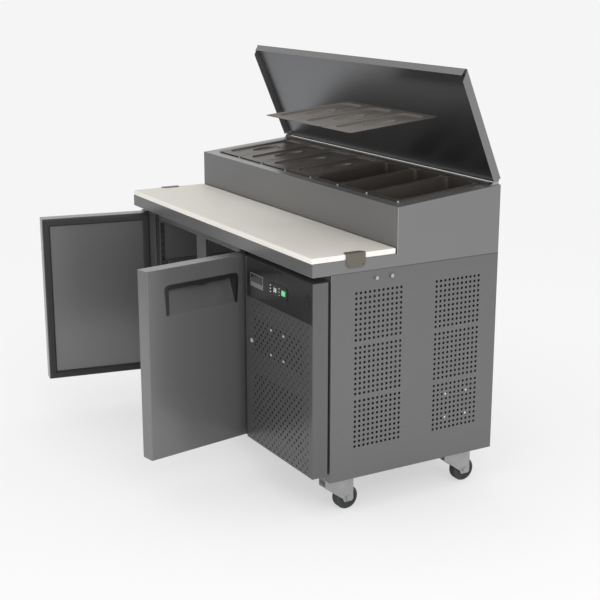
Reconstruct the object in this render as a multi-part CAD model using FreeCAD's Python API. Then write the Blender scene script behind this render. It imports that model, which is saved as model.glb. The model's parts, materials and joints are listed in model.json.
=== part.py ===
import FreeCAD, Part
import math
import os

# Refrigerated sandwich prep table on four swivel casters: a two-door cabinet with
# a compressor bay at its right, a cutting board in front, and a raised sloping
# collar that holds seven food pans under a hinged cover. Millimetres, +Z up,
# front towards -Y. The origin is on the floor, midway along the width and depth.

V = FreeCAD.Vector
x_dir = V(1, 0, 0)
y_dir = V(0, 1, 0)
z_dir = V(0, 0, 1)

# ---- Whole unit ----
worktop_front = -350.0            # y of the apron face
frame_front = -284.0              # y of the plane that the door gaskets meet
body_bottom = 118.0               # z of the cabinet floor's underside
body_top = 790.0                  # z of the seam under the worktop
sheet = 1.2                       # steel sheet of the housings
touch_gap = 0.3                   # between pieces that lie on each other but move
pin_play = 0.05                   # radial play of pins and shafts in their bores
overcut = 1.0                     # how far a cutting block passes the sheet it cuts
edge_tolerance = 0.1              # for finding an edge by its place
parallel_share = 0.9              # a direction is taken as parallel above this share

# ---- Worktop and collar ----
worktop_top = 830.7
collar_front = -46.0              # y of the collar's front wall
collar_front_top = 975.9          # z of the collar's front top edge
collar_tilt = 5.35                # slope of the collar's top, rising to the rear
side_margin = 57.05               # from the outer pan's pitch to the unit's side
opening_margin_front = 34.2
opening_clearance = 4.2           # before and behind the pans
opening_margin_rear = 30.133

# ---- Food pans and their frame ----
pan_count = 7
corner_steps = 2                  # straight steps round a pressed corner
pan_width = 176.0
pan_length = 325.0
pan_gap = 2.7                     # between the rims of two pans
pan_depth = 150.0
pan_sheet = 1.0
pan_rim_width = 12.0
pan_rim_height = 2.4
pan_rim_radius = 12.0
pan_corner_radius = 24.0
pan_taper = 7.0                   # inset of each wall from rim to floor
pan_floor_radius = 10.0           # chamfer-like round between wall and floor
frame_lip = 12.0                  # width of the ledge round the opening
divider_width = 20.0
divider_depth = 12.0
rail_width = 10.0
rail_height = 8.0
rail_setback = 22.0               # from the back to the rail's rear face
rail_end_gap = 25.5               # from each side to the rail's end
well_floor = 815.0
well_flange = 18.0
well_ledge = 3.0                  # width of the trough's edge under the pan frame

# ---- Pan lids ----
lid_border = 28.0
lid_recess = 5.0
lid_recess_radius = 30.0
lid_raised_up = 222.2             # how far lids five to seven are lifted
lid_raised_forward = 178.1
first_raised_lid = 5
scoop_length = 125.0
scoop_width = 38.0
scoop_depth = 18.0
scoop_floor_share = 0.55
scoop_steps = 4                   # straight steps along each side of the scoop
scoop_offset = -38.0              # scoop centre from the lid's centre

# ---- Cover ----
cover_hinge_inset = 14.0          # from the back to the hinge line
cover_hinge_rise = 16.327         # hinge line above the collar's top
cover_open = 67.1                 # angle of the open cover above level
cover_front_gap = 1.0             # from the collar's front wall to the closed cover's edge
cover_crown = 12.0                # hinge line to the panel's outer face
cover_skirt = 16.0                # hinge line to the skirt's edge
cover_lip_drop = 21.0
cover_lip_rake = 12.0
cover_liner_gap = 5.0             # hinge line to the liner's face
cover_liner_margin = 9.0
cover_pin_diameter = 6.0
cover_pin_collar = 2.5            # how much the collar round the pin is wider than the pin
cover_end_gap = 8.0               # from the skirts to the lip and the rear edge
cover_rear_drop = 20.0
skirt_setback = 2.0               # from the cover's front to the skirts' ends
cover_pin_end = 1.0               # how far the pin passes the gusset
gusset_sheet = 3.0
gusset_inset = 7.5                # from the cover's side to the gusset
gusset_front = 18.0               # hinge line to the gusset's front foot
gusset_rear = 11.0
gusset_crown = 8.0
foot_length = 14.0

# ---- Cutting board ----
board_length = 300.0              # front to rear
board_thickness = 18.0
board_end_gap = 3.0
clip_front = -233.0
clip_width = 70.0
clip_bottom = 804.0
clip_sheet = 2.0
clip_reach = 24.0
clip_radius = 10.0

# ---- Doors ----
door_side_gap = 25.0              # from the unit's side to the left door
door_bay_gap = 24.5               # from the right door to the compressor bay
door_bottom = 142.0
door_top = 770.0
door_thickness = 50.0
door_face = -346.0                # y of a closed door's outer face
door_gap = 8.0                    # between the two closed doors
door_swing = 99.9
pivot_from_edge = 25.0
pivot_from_face = 27.0
pivot_pin_diameter = 8.0
pivot_pin_length = 12.0
door_edge_radius = 4.0
liner_return = 15.0
gasket_thickness = 11.5
gasket_band = 26.0
gasket_step = 4.0                 # from the base's edge to the bulb
gasket_edge_gap = 3.0             # from the door's free edges to the gasket
gasket_pivot_reach = 2.5          # how far the gasket passes the pivot line
handle_width = 290.0
handle_height = 98.0
handle_bottom = 617.0
handle_edge_gap = 66.0            # from the free edge to the handle
handle_bar = 13.0
handle_depth = 30.0
handle_proud = 2.0
handle_undercut = 6.0             # straight part of the scoop's back under the bar
handle_radius = 16.0
scoop_sheet = 1.2
bracket_sheet = 3.0
bracket_width = 46.0
bracket_clearance = 3.0           # from the door's end to the bracket
bracket_flange = 12.0
bracket_reach = 12.0              # from the pivot line to the arm's front
round_sides = 8                   # sides of small round pieces
large_round_sides = 16
pin_sides = 12                    # sides of shafts, axles and kingpins

# ---- Cabinet and frame ----
frame_thickness = 8.0
stile = 68.5                      # from the cabinet's side to the food cavity
mullion = 77.0
frame_opening_bottom = 170.0
frame_opening_top = 742.0
bay_width = 442.5
bay_stile = 22.0
bay_rail = 24.0
rear_wall = 60.0                  # from the food cavity to the back
pilaster_width = 16.0
pilaster_sheet = 2.0
pilaster_gap = 4.0                # behind the front frame
pilaster_end_gap = 20.0
slot_pitch = 25.4
slot_size = 7.0
slot_count = 10
slot_top_gap = 50.0               # from the strip's top to the first slot
wire_sides = 4

# ---- Shelves ----
shelf_z = 582.0
shelf_wire = 5.0
shelf_frame_wire = 8.0
shelf_pitch = 38.0
shelf_side_gap = 28.0             # from the outer wall, so that it passes the door
shelf_inner_gap = 41.0            # from the mullion's middle
shelf_front_gap = 8.0
shelf_back_gap = 6.0
rear_pilaster_gap = 36.0
shelf_clip_height = 12.0
shelf_clip_width = 10.0

# ---- Right side panel ----
side_seam = 1.2                   # to the rear edge
perf_size = 7.0
perf_pitch = 16.6
perf_rows = 10
perf_columns = 11
perf_block_pitch = 174.5          # block to block, down the panel
perf_block_step = 301.5           # block to block, along the panel
perf_blocks_high = 3
perf_blocks_deep = 2
perf_first_y = -194.0
perf_first_z = 224.8
knob_diameter = 12.0
knob_height = 7.0
knob_z = 764.8
knob_y = -94.5
knob_spacing = 56.4

# ---- Rear panel ----
louvre_rows = 14
louvre_pitch = 26.0
louvre_height = 8.0
louvre_first = 90.0               # from the body's underside to the first louvre
louvre_margin = 40.0

# ---- Front vent panel ----
vent_left_gap = 3.0
vent_right_gap = 3.5
vent_depth = 54.0
vent_slot = 7.0
vent_pitch = 14.35
vent_rows = 34
vent_bottom = 151.2
vent_side_margin = 46.0
vent_flange = 16.0
backing_inset = 20.0              # from the bay's stiles to the backing's sides
backing_drop = 10.0               # below the fascia
window_inset = 20.0
window_upper_bottom = 467.0
window_upper_top = 574.0
window_lower_bottom = 212.0
window_lower_top = 392.0
fascia_left_gap = 15.0
fascia_right_gap = 4.0
fascia_height = 128.0
fascia_sheet = 3.0
fascia_radius = 4.0

# ---- Controller and switch ----
controller_offset = 171.0         # from the vent panel's left edge
controller_width = 118.5
controller_drop = 88.0            # from the fascia's top to the bezel's bottom
controller_height = 41.0
controller_radius = 9.0
controller_proud = 2.0
bezel_edge = 3.0                  # how far the bezel laps its cut-out
controller_body_depth = 34.0
display_offset = 22.0             # from the bezel's left edge
display_width = 47.0
display_height = 22.0
display_recess = 0.8
switch_offset = 80.0
switch_width = 24.0
switch_height = 17.0
switch_travel = 8.0               # degrees between on and off
switch_gap = 0.8
switch_body = 13.0                # depth of the rocker's well
switch_body_depth = 6.0
switch_ridge = 0.7                # how far the rocker's middle stands forward of its ends
switch_draft = 1.5
switch_axle_end = 1.5
switch_axle_depth = 5.0
switch_axle_diameter = 2.0

# ---- Refrigeration ----
chassis_sheet = 3.0
chassis_wall = 22.0
compressor_offset = 230.0         # from the bay's left side
compressor_rear_gap = 200.0       # from the back to the can's middle
compressor_radius = 85.0
compressor_height = 185.0
compressor_foot_height = 22.0
compressor_dome = 42.0
dome_steps = 3
compressor_foot = 210.0
compressor_foot_width = 100.0
grommet_radius = 11.0
grommet_edge = 13.0               # from the foot's edges to the grommet's middle
terminal_half = 28.0
terminal_depth = 26.0
terminal_sink = 12.0
terminal_bottom = 60.0
condenser_left_gap = 60.0
condenser_right_gap = 82.5
condenser_bottom = 152.0
condenser_height = 262.0
condenser_front = -255.0
condenser_depth = 56.0
condenser_tube = 10.0
condenser_rows = 5
bend_steps = 6
end_plate = 2.0
shroud_gap = 4.0                  # from the fins to the shroud
shroud_depth = 34.0
shroud_sheet = 2.0
fan_radius = 100.0
fan_tip_gap = 5.0
throat_sides = 24
fan_setback = 14.0
fan_hub_radius = 22.0
fan_hub_length = 20.0
fan_blades = 5
fan_pitch_angle = 32.0
fan_shaft_diameter = 6.0
hub_cap = 4.0                     # from the hub's front to the shaft's end
vane_half = 26.0
vane_sink = 4.0
vane_sheet = 2.0
shaft_end_gap = 1.0
motor_gap = 20.0
motor_radius = 34.0
motor_length = 52.0
motor_arm = 10.0
motor_leg = 15.0
arm_sheet = 4.0
pipe_radius = 4.0
pipe_bend = 16.0
pipe_stub = 8.0
pipe_sink = 10.0                  # how far a stub runs into the can
discharge_z = 238.0
suction_z = 258.0
suction_wall_z = 400.0            # where the suction pipe enters the insulated wall

# ---- Casters ----
caster_inset = 51.0               # from the unit's side to the swivel
caster_front_swivel = -230.0
caster_rear_inset = 115.0         # from the back to the rear swivels
caster_trail = 33.0
wheel_radius = 40.0
wheel_width = 32.0
wheel_sides = 30
axle_radius = 5.0
axle_head_radius = 9.0
axle_head_height = 4.0
fork_sheet = 3.0
fork_gap = 2.0                    # wheel's side to the cheek
fork_crown_radius = 52.0          # from the swivel to the crown's front
cheek_half = 20.0
cheek_foot = 14.0
cheek_drop = 13.0
cheek_corner = 8.0
cheek_skirt = 24.0
fork_crown_top = 112.0
plate_thickness = 3.0
plate_width = 90.0
plate_length = 148.0
plate_corner = 14.0
plate_shift_front = 20.0
plate_shift_rear = 22.0
race_radius = 32.0
kingpin_radius = 7.0
kingpin_reach = 2.0               # how far the kingpin stands in the mounting plate
bolt_head = 2.5
bolt_radius = 5.5
bolt_side_gap = 10.0
bolt_end_gap = 20.0

# ---- Places that follow from the sizes ----
pan_pitch = pan_width + pan_gap
unit_width = pan_count * pan_pitch + 2 * side_margin
half_width = unit_width / 2
opening_half = pan_count * pan_pitch / 2
opening_length = pan_length + 2 * opening_clearance
opening_centre = opening_margin_front + opening_length / 2
slope = math.tan(math.radians(collar_tilt))
collar_run = opening_margin_front + opening_length + opening_margin_rear
body_rear = collar_front + collar_run * math.cos(math.radians(collar_tilt))
cover_hinge_y = body_rear - cover_hinge_inset
cover_hinge_z = collar_front_top + (cover_hinge_y - collar_front) * slope + cover_hinge_rise
cover_length = cover_hinge_y - collar_front - cover_front_gap
cavity_rear = body_rear - rear_wall
caster_rear_swivel = body_rear - caster_rear_inset
pan_floor_z = -(pan_depth - pan_rim_height - touch_gap)
bay_left = half_width - bay_width
bay_right = half_width - sheet
door_width = (unit_width - bay_width - door_side_gap - door_bay_gap - door_gap) / 2
door_centre = -half_width + door_side_gap + door_width + door_gap / 2
door_left = door_centre + door_gap / 2
door_right = door_left + door_width
door_back = door_face + door_thickness
pivot_x = door_right - pivot_from_edge
pivot_y = door_face + pivot_from_face
handle_left = door_left + handle_edge_gap
handle_right = handle_left + handle_width
handle_top = handle_bottom + handle_height
frame_rear = frame_front + frame_thickness
cavity_left = -half_width + stile
skirt_end = cover_length - skirt_setback
cavity_right = bay_left - stile
vent_left = bay_left + vent_left_gap
vent_right = half_width - vent_right_gap
vent_rear = door_face + vent_depth
backing_left = bay_left + bay_stile + backing_inset
backing_right = bay_right - bay_stile - backing_inset
fascia_left = vent_left + fascia_left_gap
fascia_right = vent_right - fascia_right_gap
fascia_bottom = door_top - fascia_height
fascia_face = door_face - fascia_sheet
controller_left = vent_left + controller_offset
controller_bottom = door_top - controller_drop
controller_cx = controller_left + controller_width / 2
controller_cz = controller_bottom + controller_height / 2
controller_face = fascia_face - controller_proud
display_left = controller_left + display_offset
switch_left = controller_left + switch_offset
compressor_x = bay_left + compressor_offset
compressor_y = body_rear - compressor_rear_gap
condenser_left = bay_left + condenser_left_gap
condenser_width = bay_width - condenser_left_gap - condenser_right_gap
shroud_front = condenser_front + condenser_depth + shroud_gap
shroud_rear = shroud_front + shroud_depth
fan_x = condenser_left + condenser_width / 2
fan_z = condenser_bottom + condenser_height / 2
fan_front = shroud_front + fan_setback
caster_x = half_width - caster_inset
plate_bottom = body_bottom - plate_thickness


def block(x0, x1, y0, y1, z0, z1):
    return Part.makeBox(x1 - x0, y1 - y0, z1 - z0, V(x0, y0, z0))


def prism(points, along):
    return Part.Face(closed(points)).extrude(along)


def rod(start, direction, radius, length):
    return Part.makeCylinder(radius, length, start, direction)


def closed(points):
    return Part.makePolygon(points + [points[0]])


def ring_points(cx, cy, width, length, radius, z, steps=corner_steps):
    # rounded rectangle in a level plane, its corners in equal straight steps
    points = []
    for sx, sy, start in ((1, -1, -90), (1, 1, 0), (-1, 1, 90), (-1, -1, 180)):
        for step in range(steps + 1):
            angle = math.radians(start + 90 * step / steps)
            points.append(V(cx + sx * (width / 2 - radius) + radius * math.cos(angle),
                            cy + sy * (length / 2 - radius) + radius * math.sin(angle), z))
    return points


def regular_points(centre, heading, radius, sides):
    # regular polygon square to a heading
    across = heading.cross(z_dir) if abs(heading.z) < parallel_share else V(x_dir)
    across.normalize()
    up = heading.cross(across)
    points = []
    for i in range(sides):
        angle = 2 * math.pi * (i + 0.5) / sides
        points.append(centre + across * radius * math.cos(angle) + up * radius * math.sin(angle))
    return points


def bar(start, heading, radius, length, sides=6):
    # straight bar of a regular section
    return prism(regular_points(start, heading, radius, sides), heading * length)


def bore(start, heading, radius, length, sides):
    # hole of a regular section that clears a round pin of the given radius
    return bar(start, heading, (radius + pin_play) / math.cos(math.pi / sides), length, sides)


def tapered(sections):
    # closed solid through matching rings of points, all its sides flat
    faces = [Part.Face(closed(sections[0])), Part.Face(closed(sections[-1]))]
    for near, far in zip(sections, sections[1:]):
        for i in range(len(near)):
            j = (i + 1) % len(near)
            faces.append(Part.Face(closed([near[i], near[j], far[j], far[i]])))
    solid = Part.makeSolid(Part.makeShell(faces))
    return solid if solid.Volume > 0 else solid.reversed()


def plate(outline, holes, along):
    face = Part.makeFace([outline] + holes, "Part::FaceMakerBullseye")
    return face.extrude(along)


def rounded_block(cx, cy, width, length, radius, z0, z1):
    return prism(ring_points(cx, cy, width, length, radius, z0), V(0, 0, z1 - z0))


def joined(shapes):
    return shapes[0].multiFuse(shapes[1:]).removeSplitter()


def turned(shape, base, axis, angle):
    copy = shape.copy()
    copy.rotate(base, axis, angle)
    return copy


def moved(shape, by):
    copy = shape.copy()
    copy.translate(by)
    return copy


def upright(shape, cx, cy, cz):
    # a shape drawn level with its length along Y, stood up with its top facing -Y
    stood = turned(shape, V(0, 0, 0), x_dir, 90)
    return moved(stood, V(cx, cy, cz))


def save(name, solids):
    shape = solids if isinstance(solids, Part.Shape) else Part.makeCompound(solids)
    shape.exportStep("parts/" + name + ".step")
    print(name, len(shape.Solids), "solid" if len(shape.Solids) == 1 else "solids", shape.isValid())


# The collar's top plane: x across, y up the slope from the front wall, z normal to it.
def on_collar(shape):
    placed = turned(shape, V(0, 0, 0), x_dir, collar_tilt)
    placed.translate(V(0, collar_front, collar_front_top))
    return placed


# The open cover's frame: x across, y away from the hinge line, z towards the pans.
def on_cover(shape):
    placed = turned(shape, V(0, 0, 0), x_dir, 180 - cover_open)
    placed.translate(V(0, cover_hinge_y, cover_hinge_z))
    return placed


def collar_height(y):
    # z of the collar's top at a place along the depth
    return collar_front_top + (y - collar_front) * slope


def pan_x(index):
    return (index - (pan_count + 1) / 2) * pan_pitch


# ---- Worktop ----
def worktop_collar():
    # folded front sheet, top sheet with the pans' opening, rear sheet and two ends
    end_x = half_width - sheet
    under = sheet / math.cos(math.radians(collar_tilt))
    rear = body_rear - sheet
    folded = [V(-end_x, worktop_front, body_top), V(-end_x, worktop_front, worktop_top),
              V(-end_x, collar_front, worktop_top), V(-end_x, collar_front, collar_front_top - under),
              V(-end_x, collar_front + sheet, collar_height(collar_front + sheet) - under),
              V(-end_x, collar_front + sheet, worktop_top - sheet),
              V(-end_x, worktop_front + sheet, worktop_top - sheet),
              V(-end_x, worktop_front + sheet, body_top)]
    front = prism(folded, V(2 * end_x, 0, 0))
    slab = prism([V(-end_x, collar_front, collar_front_top - under),
                  V(-end_x, collar_front, collar_front_top),
                  V(-end_x, body_rear, collar_height(body_rear)),
                  V(-end_x, body_rear, collar_height(body_rear) - under)], V(2 * end_x, 0, 0))
    hole = block(-opening_half, opening_half, opening_margin_front, opening_margin_front + opening_length,
                 -frame_lip, frame_lip)
    back = block(-end_x, end_x, rear, body_rear, body_top, collar_height(rear) - under)
    side = [(worktop_front, body_top), (worktop_front, worktop_top), (collar_front, worktop_top),
            (collar_front, collar_front_top), (body_rear, collar_height(body_rear)), (body_rear, body_top)]
    shapes = [front, slab.cut(on_collar(hole)), back]
    for x in (-half_width, end_x):
        shapes.append(prism([V(x, y, z) for y, z in side], V(sheet, 0, 0)))
    return shapes


def well_walls(x0, x1, y0, y1, floor, top_y0, top_y1):
    # five welded sheets of an open trough, its upper edge cut to the collar's slope
    out_x = x1 + sheet
    front = prism([V(-out_x, y0 - sheet, floor), V(-out_x, y0, floor), V(-out_x, y0, top_y0),
                   V(-out_x, y0 - sheet, top_y0 - sheet * slope)], V(2 * out_x, 0, 0))
    rear = prism([V(-out_x, y1, floor), V(-out_x, y1 + sheet, floor),
                  V(-out_x, y1 + sheet, top_y1 + sheet * slope), V(-out_x, y1, top_y1)], V(2 * out_x, 0, 0))
    shapes = [front, rear, block(-out_x, out_x, y0 - sheet, y1 + sheet, floor - sheet, floor)]
    for x in (x0 - sheet, x1):
        shapes.append(prism([V(x, y0, floor), V(x, y1, floor), V(x, y1, top_y1), V(x, y0, top_y0)],
                            V(sheet, 0, 0)))
    return shapes


def pan_well():
    # trough that hangs from a flange under the collar's top, over a closing plate
    end_x = half_width - sheet
    lap = frame_lip - well_ledge
    x = opening_half - lap
    near = opening_margin_front + lap
    far = opening_margin_front + opening_length - lap
    lean = math.cos(math.radians(collar_tilt))
    y0 = collar_front + near * lean
    y1 = collar_front + far * lean
    drop = 2 * sheet / lean
    shapes = well_walls(-x, x, y0, y1, well_floor, collar_height(y0) - drop, collar_height(y1) - drop)
    wide = opening_half + well_flange
    strips = [(-wide, wide, opening_margin_front - well_flange, near),
              (-wide, wide, far, far + lap + well_flange),
              (-wide, -x, near, far), (x, wide, near, far)]
    for a0, a1, b0, b1 in strips:
        shapes.append(on_collar(block(a0, a1, b0, b1, -2 * sheet, -sheet)))
    shapes.append(block(-end_x, end_x, worktop_front + sheet, body_rear - sheet, body_top, body_top + sheet))
    return shapes


def pan_frame():
    # ledge strips in the collar's opening, a folded bar between each two pans, and the rail behind
    out_x = opening_half - touch_gap
    near = opening_margin_front + touch_gap
    far = opening_margin_front + opening_length - touch_gap
    strips = [(-out_x, out_x, near, near + frame_lip), (-out_x, out_x, far - frame_lip, far),
              (-out_x, -out_x + frame_lip, near + frame_lip, far - frame_lip),
              (out_x - frame_lip, out_x, near + frame_lip, far - frame_lip)]
    shapes = [on_collar(block(a0, a1, b0, b1, -sheet, 0)) for a0, a1, b0, b1 in strips]
    for i in range(1, pan_count):
        shapes.append(divider_bar(pan_x(i) + pan_pitch / 2, near + frame_lip, far - frame_lip))
    rail_y = body_rear - rail_setback
    rail_x = half_width - rail_end_gap
    foot_front = collar_height(rail_y - rail_width)
    foot_rear = collar_height(rail_y)
    shapes.append(prism([V(-rail_x, rail_y - rail_width, foot_front),
                         V(-rail_x, rail_y - rail_width, foot_front + rail_height),
                         V(-rail_x, rail_y, foot_rear + rail_height),
                         V(-rail_x, rail_y, foot_rear)], V(2 * rail_x, 0, 0)))
    return shapes


def divider_bar(middle, near, far):
    # inverted channel with its sides folded down
    half = divider_width / 2
    outer = block(middle - half, middle + half, near, far, -divider_depth, 0)
    inner = block(middle - half + sheet, middle + half - sheet, near, far, -divider_depth, -sheet)
    return on_collar(outer.cut(inner))


def food_pan():
    # drawn on the collar's plane at the middle of the opening
    z_rim = pan_rim_height + touch_gap
    inner_w = pan_width - 2 * pan_rim_width
    inner_l = pan_length - 2 * pan_rim_width
    y = opening_centre

    def shell(grow, floor):
        r = pan_corner_radius + grow
        wall = pan_taper - grow
        turn = wall + pan_floor_radius
        return tapered([ring_points(0, y, inner_w + 2 * grow, inner_l + 2 * grow, r, z_rim),
                        ring_points(0, y, inner_w - 2 * wall, inner_l - 2 * wall, r,
                                    pan_floor_z + pan_floor_radius),
                        ring_points(0, y, inner_w - 2 * turn, inner_l - 2 * turn, r, floor)])

    rim = rounded_block(0, y, pan_width, pan_length, pan_rim_radius, touch_gap, z_rim)
    under_rim = rounded_block(0, y, pan_width - 2 * pan_sheet, pan_length - 2 * pan_sheet,
                              pan_rim_radius - pan_sheet, touch_gap, z_rim - pan_sheet)
    body = rim.cut(under_rim).fuse(shell(pan_sheet, pan_floor_z))
    return body.cut(shell(0, pan_floor_z + pan_sheet)).removeSplitter()


def lens_points(cy, scale, z):
    # two shallow arcs that meet in a point at each end
    half = scale * scoop_length / 2
    rise = scale * scoop_width / 2
    radius = (half ** 2 + rise ** 2) / (2 * rise)
    reach = math.asin(half / radius)
    points = []
    for side in (1, -1):
        for step in range(scoop_steps):
            angle = side * reach * (2 * step / scoop_steps - 1)
            points.append(V(side * (radius * math.cos(angle) - radius + rise),
                            cy + radius * math.sin(angle), z))
    return points


def pan_lid():
    # drawn on the collar's plane at the middle of the opening
    z0 = pan_rim_height + 2 * touch_gap
    z1 = z0 + pan_sheet
    y = opening_centre
    recess_w = pan_width - 2 * lid_border
    recess_l = pan_length - 2 * lid_border

    def dish(z_top, grow):
        low = lid_recess - grow
        return tapered([ring_points(0, y, recess_w + 2 * grow, recess_l + 2 * grow, lid_recess_radius, z_top),
                        ring_points(0, y, recess_w - 2 * low, recess_l - 2 * low,
                                    lid_recess_radius - lid_recess, z_top - lid_recess)])

    def scoop(z_top, grow):
        extra = 2 * grow / scoop_width
        return tapered([lens_points(y + scoop_offset, 1 + extra, z_top),
                        lens_points(y + scoop_offset, scoop_floor_share + extra, z_top - scoop_depth)])

    flat = rounded_block(0, y, pan_width, pan_length, pan_rim_radius, z0, z1)
    body = flat.fuse(dish(z0, pan_sheet)).fuse(scoop(z0 - lid_recess, pan_sheet))
    return body.cut(dish(z1, 0)).cut(scoop(z1 - lid_recess, 0)).removeSplitter()


# ---- Cover ----
def cover_shell():
    edge = half_width
    panel = block(-edge, edge, 0, cover_length, -cover_crown, -cover_crown + sheet)
    pieces = [panel]
    mitre = cover_skirt + cover_crown
    skirt = [(0, -cover_crown), (skirt_end, -cover_crown), (skirt_end - mitre, cover_skirt),
             (0, cover_skirt)]
    for x in (-edge, edge - sheet):
        pieces.append(prism([V(x, a, z) for a, z in skirt], V(sheet, 0, 0)))
    lip = [(cover_length, -cover_crown),
           (cover_length - cover_lip_rake, -cover_crown + cover_lip_drop),
           (cover_length - cover_lip_rake - sheet, -cover_crown + cover_lip_drop),
           (cover_length - sheet, -cover_crown)]
    lip_end = edge - cover_end_gap
    lip_body = prism([V(-lip_end, a, z) for a, z in lip], V(2 * lip_end, 0, 0))
    pieces.append(lip_body)
    pieces.append(block(-edge + gusset_inset + cover_end_gap, edge - gusset_inset - cover_end_gap, 0, sheet,
                        -cover_crown, -cover_crown + cover_rear_drop))
    shell = joined(pieces)
    pin = cover_pin_diameter / 2
    for side in (-1, 1):
        start = side * (edge - sheet)
        shell = shell.fuse(rod(V(start, 0, 0), V(-side, 0, 0), pin,
                                gusset_inset + gusset_sheet + cover_pin_end))
        collar = bar(V(side * edge, 0, 0), V(-side, 0, 0), pin + cover_pin_collar, 2 * sheet,
                     round_sides)
        shell = shell.fuse(collar)
    return on_cover(shell)


def cover_liner():
    # shallow tray that closes the cover's inside
    x = half_width - gusset_inset - cover_liner_margin - gusset_sheet
    a0 = sheet
    a1 = cover_length - cover_lip_rake - cover_liner_margin
    top = -cover_crown + sheet
    tray = block(-x, x, a0, a1, top, -cover_liner_gap + sheet)
    inside = block(-x + sheet, x - sheet, a0 + sheet, a1 - sheet, top, -cover_liner_gap)
    return on_cover(tray.cut(inside))


def cover_gussets():
    shapes = []
    base = -(cover_hinge_z - collar_height(cover_hinge_y))
    for side in (-1, 1):
        x = side * (half_width - gusset_inset)
        depth = V(-side * gusset_sheet, 0, 0)
        y = cover_hinge_y
        z = cover_hinge_z
        front_foot = V(x, y - gusset_front, collar_height(y - gusset_front))
        rear_foot = V(x, y + gusset_rear, collar_height(y + gusset_rear))
        web = prism([front_foot, V(x, y - gusset_crown, z), V(x, y + gusset_crown, z), rear_foot], depth)
        boss = rod(V(x, y, z), V(-side, 0, 0), gusset_crown, gusset_sheet)
        foot = prism([front_foot, front_foot + V(0, 0, sheet), rear_foot + V(0, 0, sheet), rear_foot],
                     V(-side * foot_length, 0, 0))
        hole = rod(V(x + side * overcut, y, z), V(-side, 0, 0), cover_pin_diameter / 2 + pin_play,
                   gusset_sheet + 2 * overcut)
        shapes.append(joined([web, boss, foot]).cut(hole))
    return shapes


# ---- Cutting board ----
def cutting_board():
    half = half_width - board_end_gap
    return block(-half, half, worktop_front, worktop_front + board_length,
                 worktop_top, worktop_top + board_thickness)


def board_clips():
    # plate on each side wall, folded in over the board's end
    shapes = []
    top = worktop_top + board_thickness + touch_gap
    rear = clip_front + clip_width
    cut = clip_radius
    for side in (-1, 1):
        x = side * half_width
        web = [V(x, clip_front, top + clip_sheet), V(x, rear, top + clip_sheet),
               V(x, rear, clip_bottom + cut),
               V(x, rear - cut, clip_bottom), V(x, clip_front + cut, clip_bottom),
               V(x, clip_front, clip_bottom + cut)]
        reach = x - side * clip_reach
        tab = [V(x, clip_front, top), V(x, rear, top), V(reach + side * cut, rear, top),
               V(reach, rear - cut, top), V(reach, clip_front + cut, top),
               V(reach + side * cut, clip_front, top)]
        shapes.append(joined([prism(web, V(side * clip_sheet, 0, 0)), prism(tab, V(0, 0, clip_sheet))]))
    return shapes


# ---- Doors, drawn closed at the right opening ----
def place_door(shape, side):
    # swing a closed right-hand piece open, or mirror it for the left door
    if side == "right":
        return turned(shape, V(pivot_x, pivot_y, 0), z_dir, door_swing)
    flipped = shape.mirror(V(door_centre, 0, 0), x_dir)
    return turned(flipped, V(2 * door_centre - pivot_x, pivot_y, 0), z_dir, -door_swing)


def scoop_profile(x, grow):
    # triangular pocket: flush at its foot, deepest under the handle's bar
    y0 = door_face
    y1 = door_face + handle_depth + grow
    head = handle_top - handle_bar
    return [V(x, y0, handle_bottom - grow), V(x, y1, head - handle_undercut - grow),
            V(x, y1, head + grow), V(x, y0, head + grow)]


def handle_pocket(grow):
    x0 = handle_left + handle_bar - grow
    x1 = handle_right - handle_bar + grow
    return prism(scoop_profile(x0, grow), V(x1 - x0, 0, 0))


def pivot_bores():
    r = pivot_pin_diameter / 2 + pin_play
    length = pivot_pin_length + 2 * overcut
    low = rod(V(pivot_x, pivot_y, door_bottom - overcut), z_dir, r, length)
    high = rod(V(pivot_x, pivot_y, door_top + overcut), V(0, 0, -1), r, length)
    return low.fuse(high)


def door_skin():
    outer = block(door_left, door_right, door_face, door_back, door_bottom, door_top)
    front_edges = [e for e in outer.Edges
                   if abs(e.CenterOfMass.y - door_face) < edge_tolerance
                   and abs(e.tangentAt(0).z) > parallel_share]
    outer = outer.makeFillet(door_edge_radius, front_edges)
    inner = block(door_left + sheet, door_right - sheet, door_face + sheet, door_back,
                  door_bottom + sheet, door_top - sheet)
    pocket = handle_pocket(scoop_sheet + touch_gap)
    return outer.cut(inner).cut(pocket).cut(pivot_bores())


def door_liner():
    # inner door panel with its edges turned in; foam fills the space behind it
    x0 = door_left + sheet
    x1 = door_right - sheet
    z0 = door_bottom + sheet
    z1 = door_top - sheet
    outer = block(x0, x1, door_back - liner_return, door_back, z0, z1)
    inner = block(x0 + sheet, x1 - sheet, door_back - liner_return, door_back - sheet,
                  z0 + sheet, z1 - sheet)
    return outer.cut(inner)


def door_gasket():
    # flat base with a narrower bulb on it
    x0 = door_left + gasket_edge_gap
    x1 = pivot_x + gasket_pivot_reach
    z0 = door_bottom + gasket_edge_gap
    z1 = door_top - gasket_edge_gap

    def ring(inset, band, front, rear):
        outer = block(x0 + inset, x1 - inset, front, rear, z0 + inset, z1 - inset)
        gone = inset + band
        return outer.cut(block(x0 + gone, x1 - gone, front, rear, z0 + gone, z1 - gone))

    middle = door_back + gasket_thickness / 2
    base = ring(0, gasket_band, door_back, middle)
    bulb = ring(gasket_step, gasket_band - 2 * gasket_step, middle, door_back + gasket_thickness)
    return base.fuse(bulb).removeSplitter()


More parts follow.
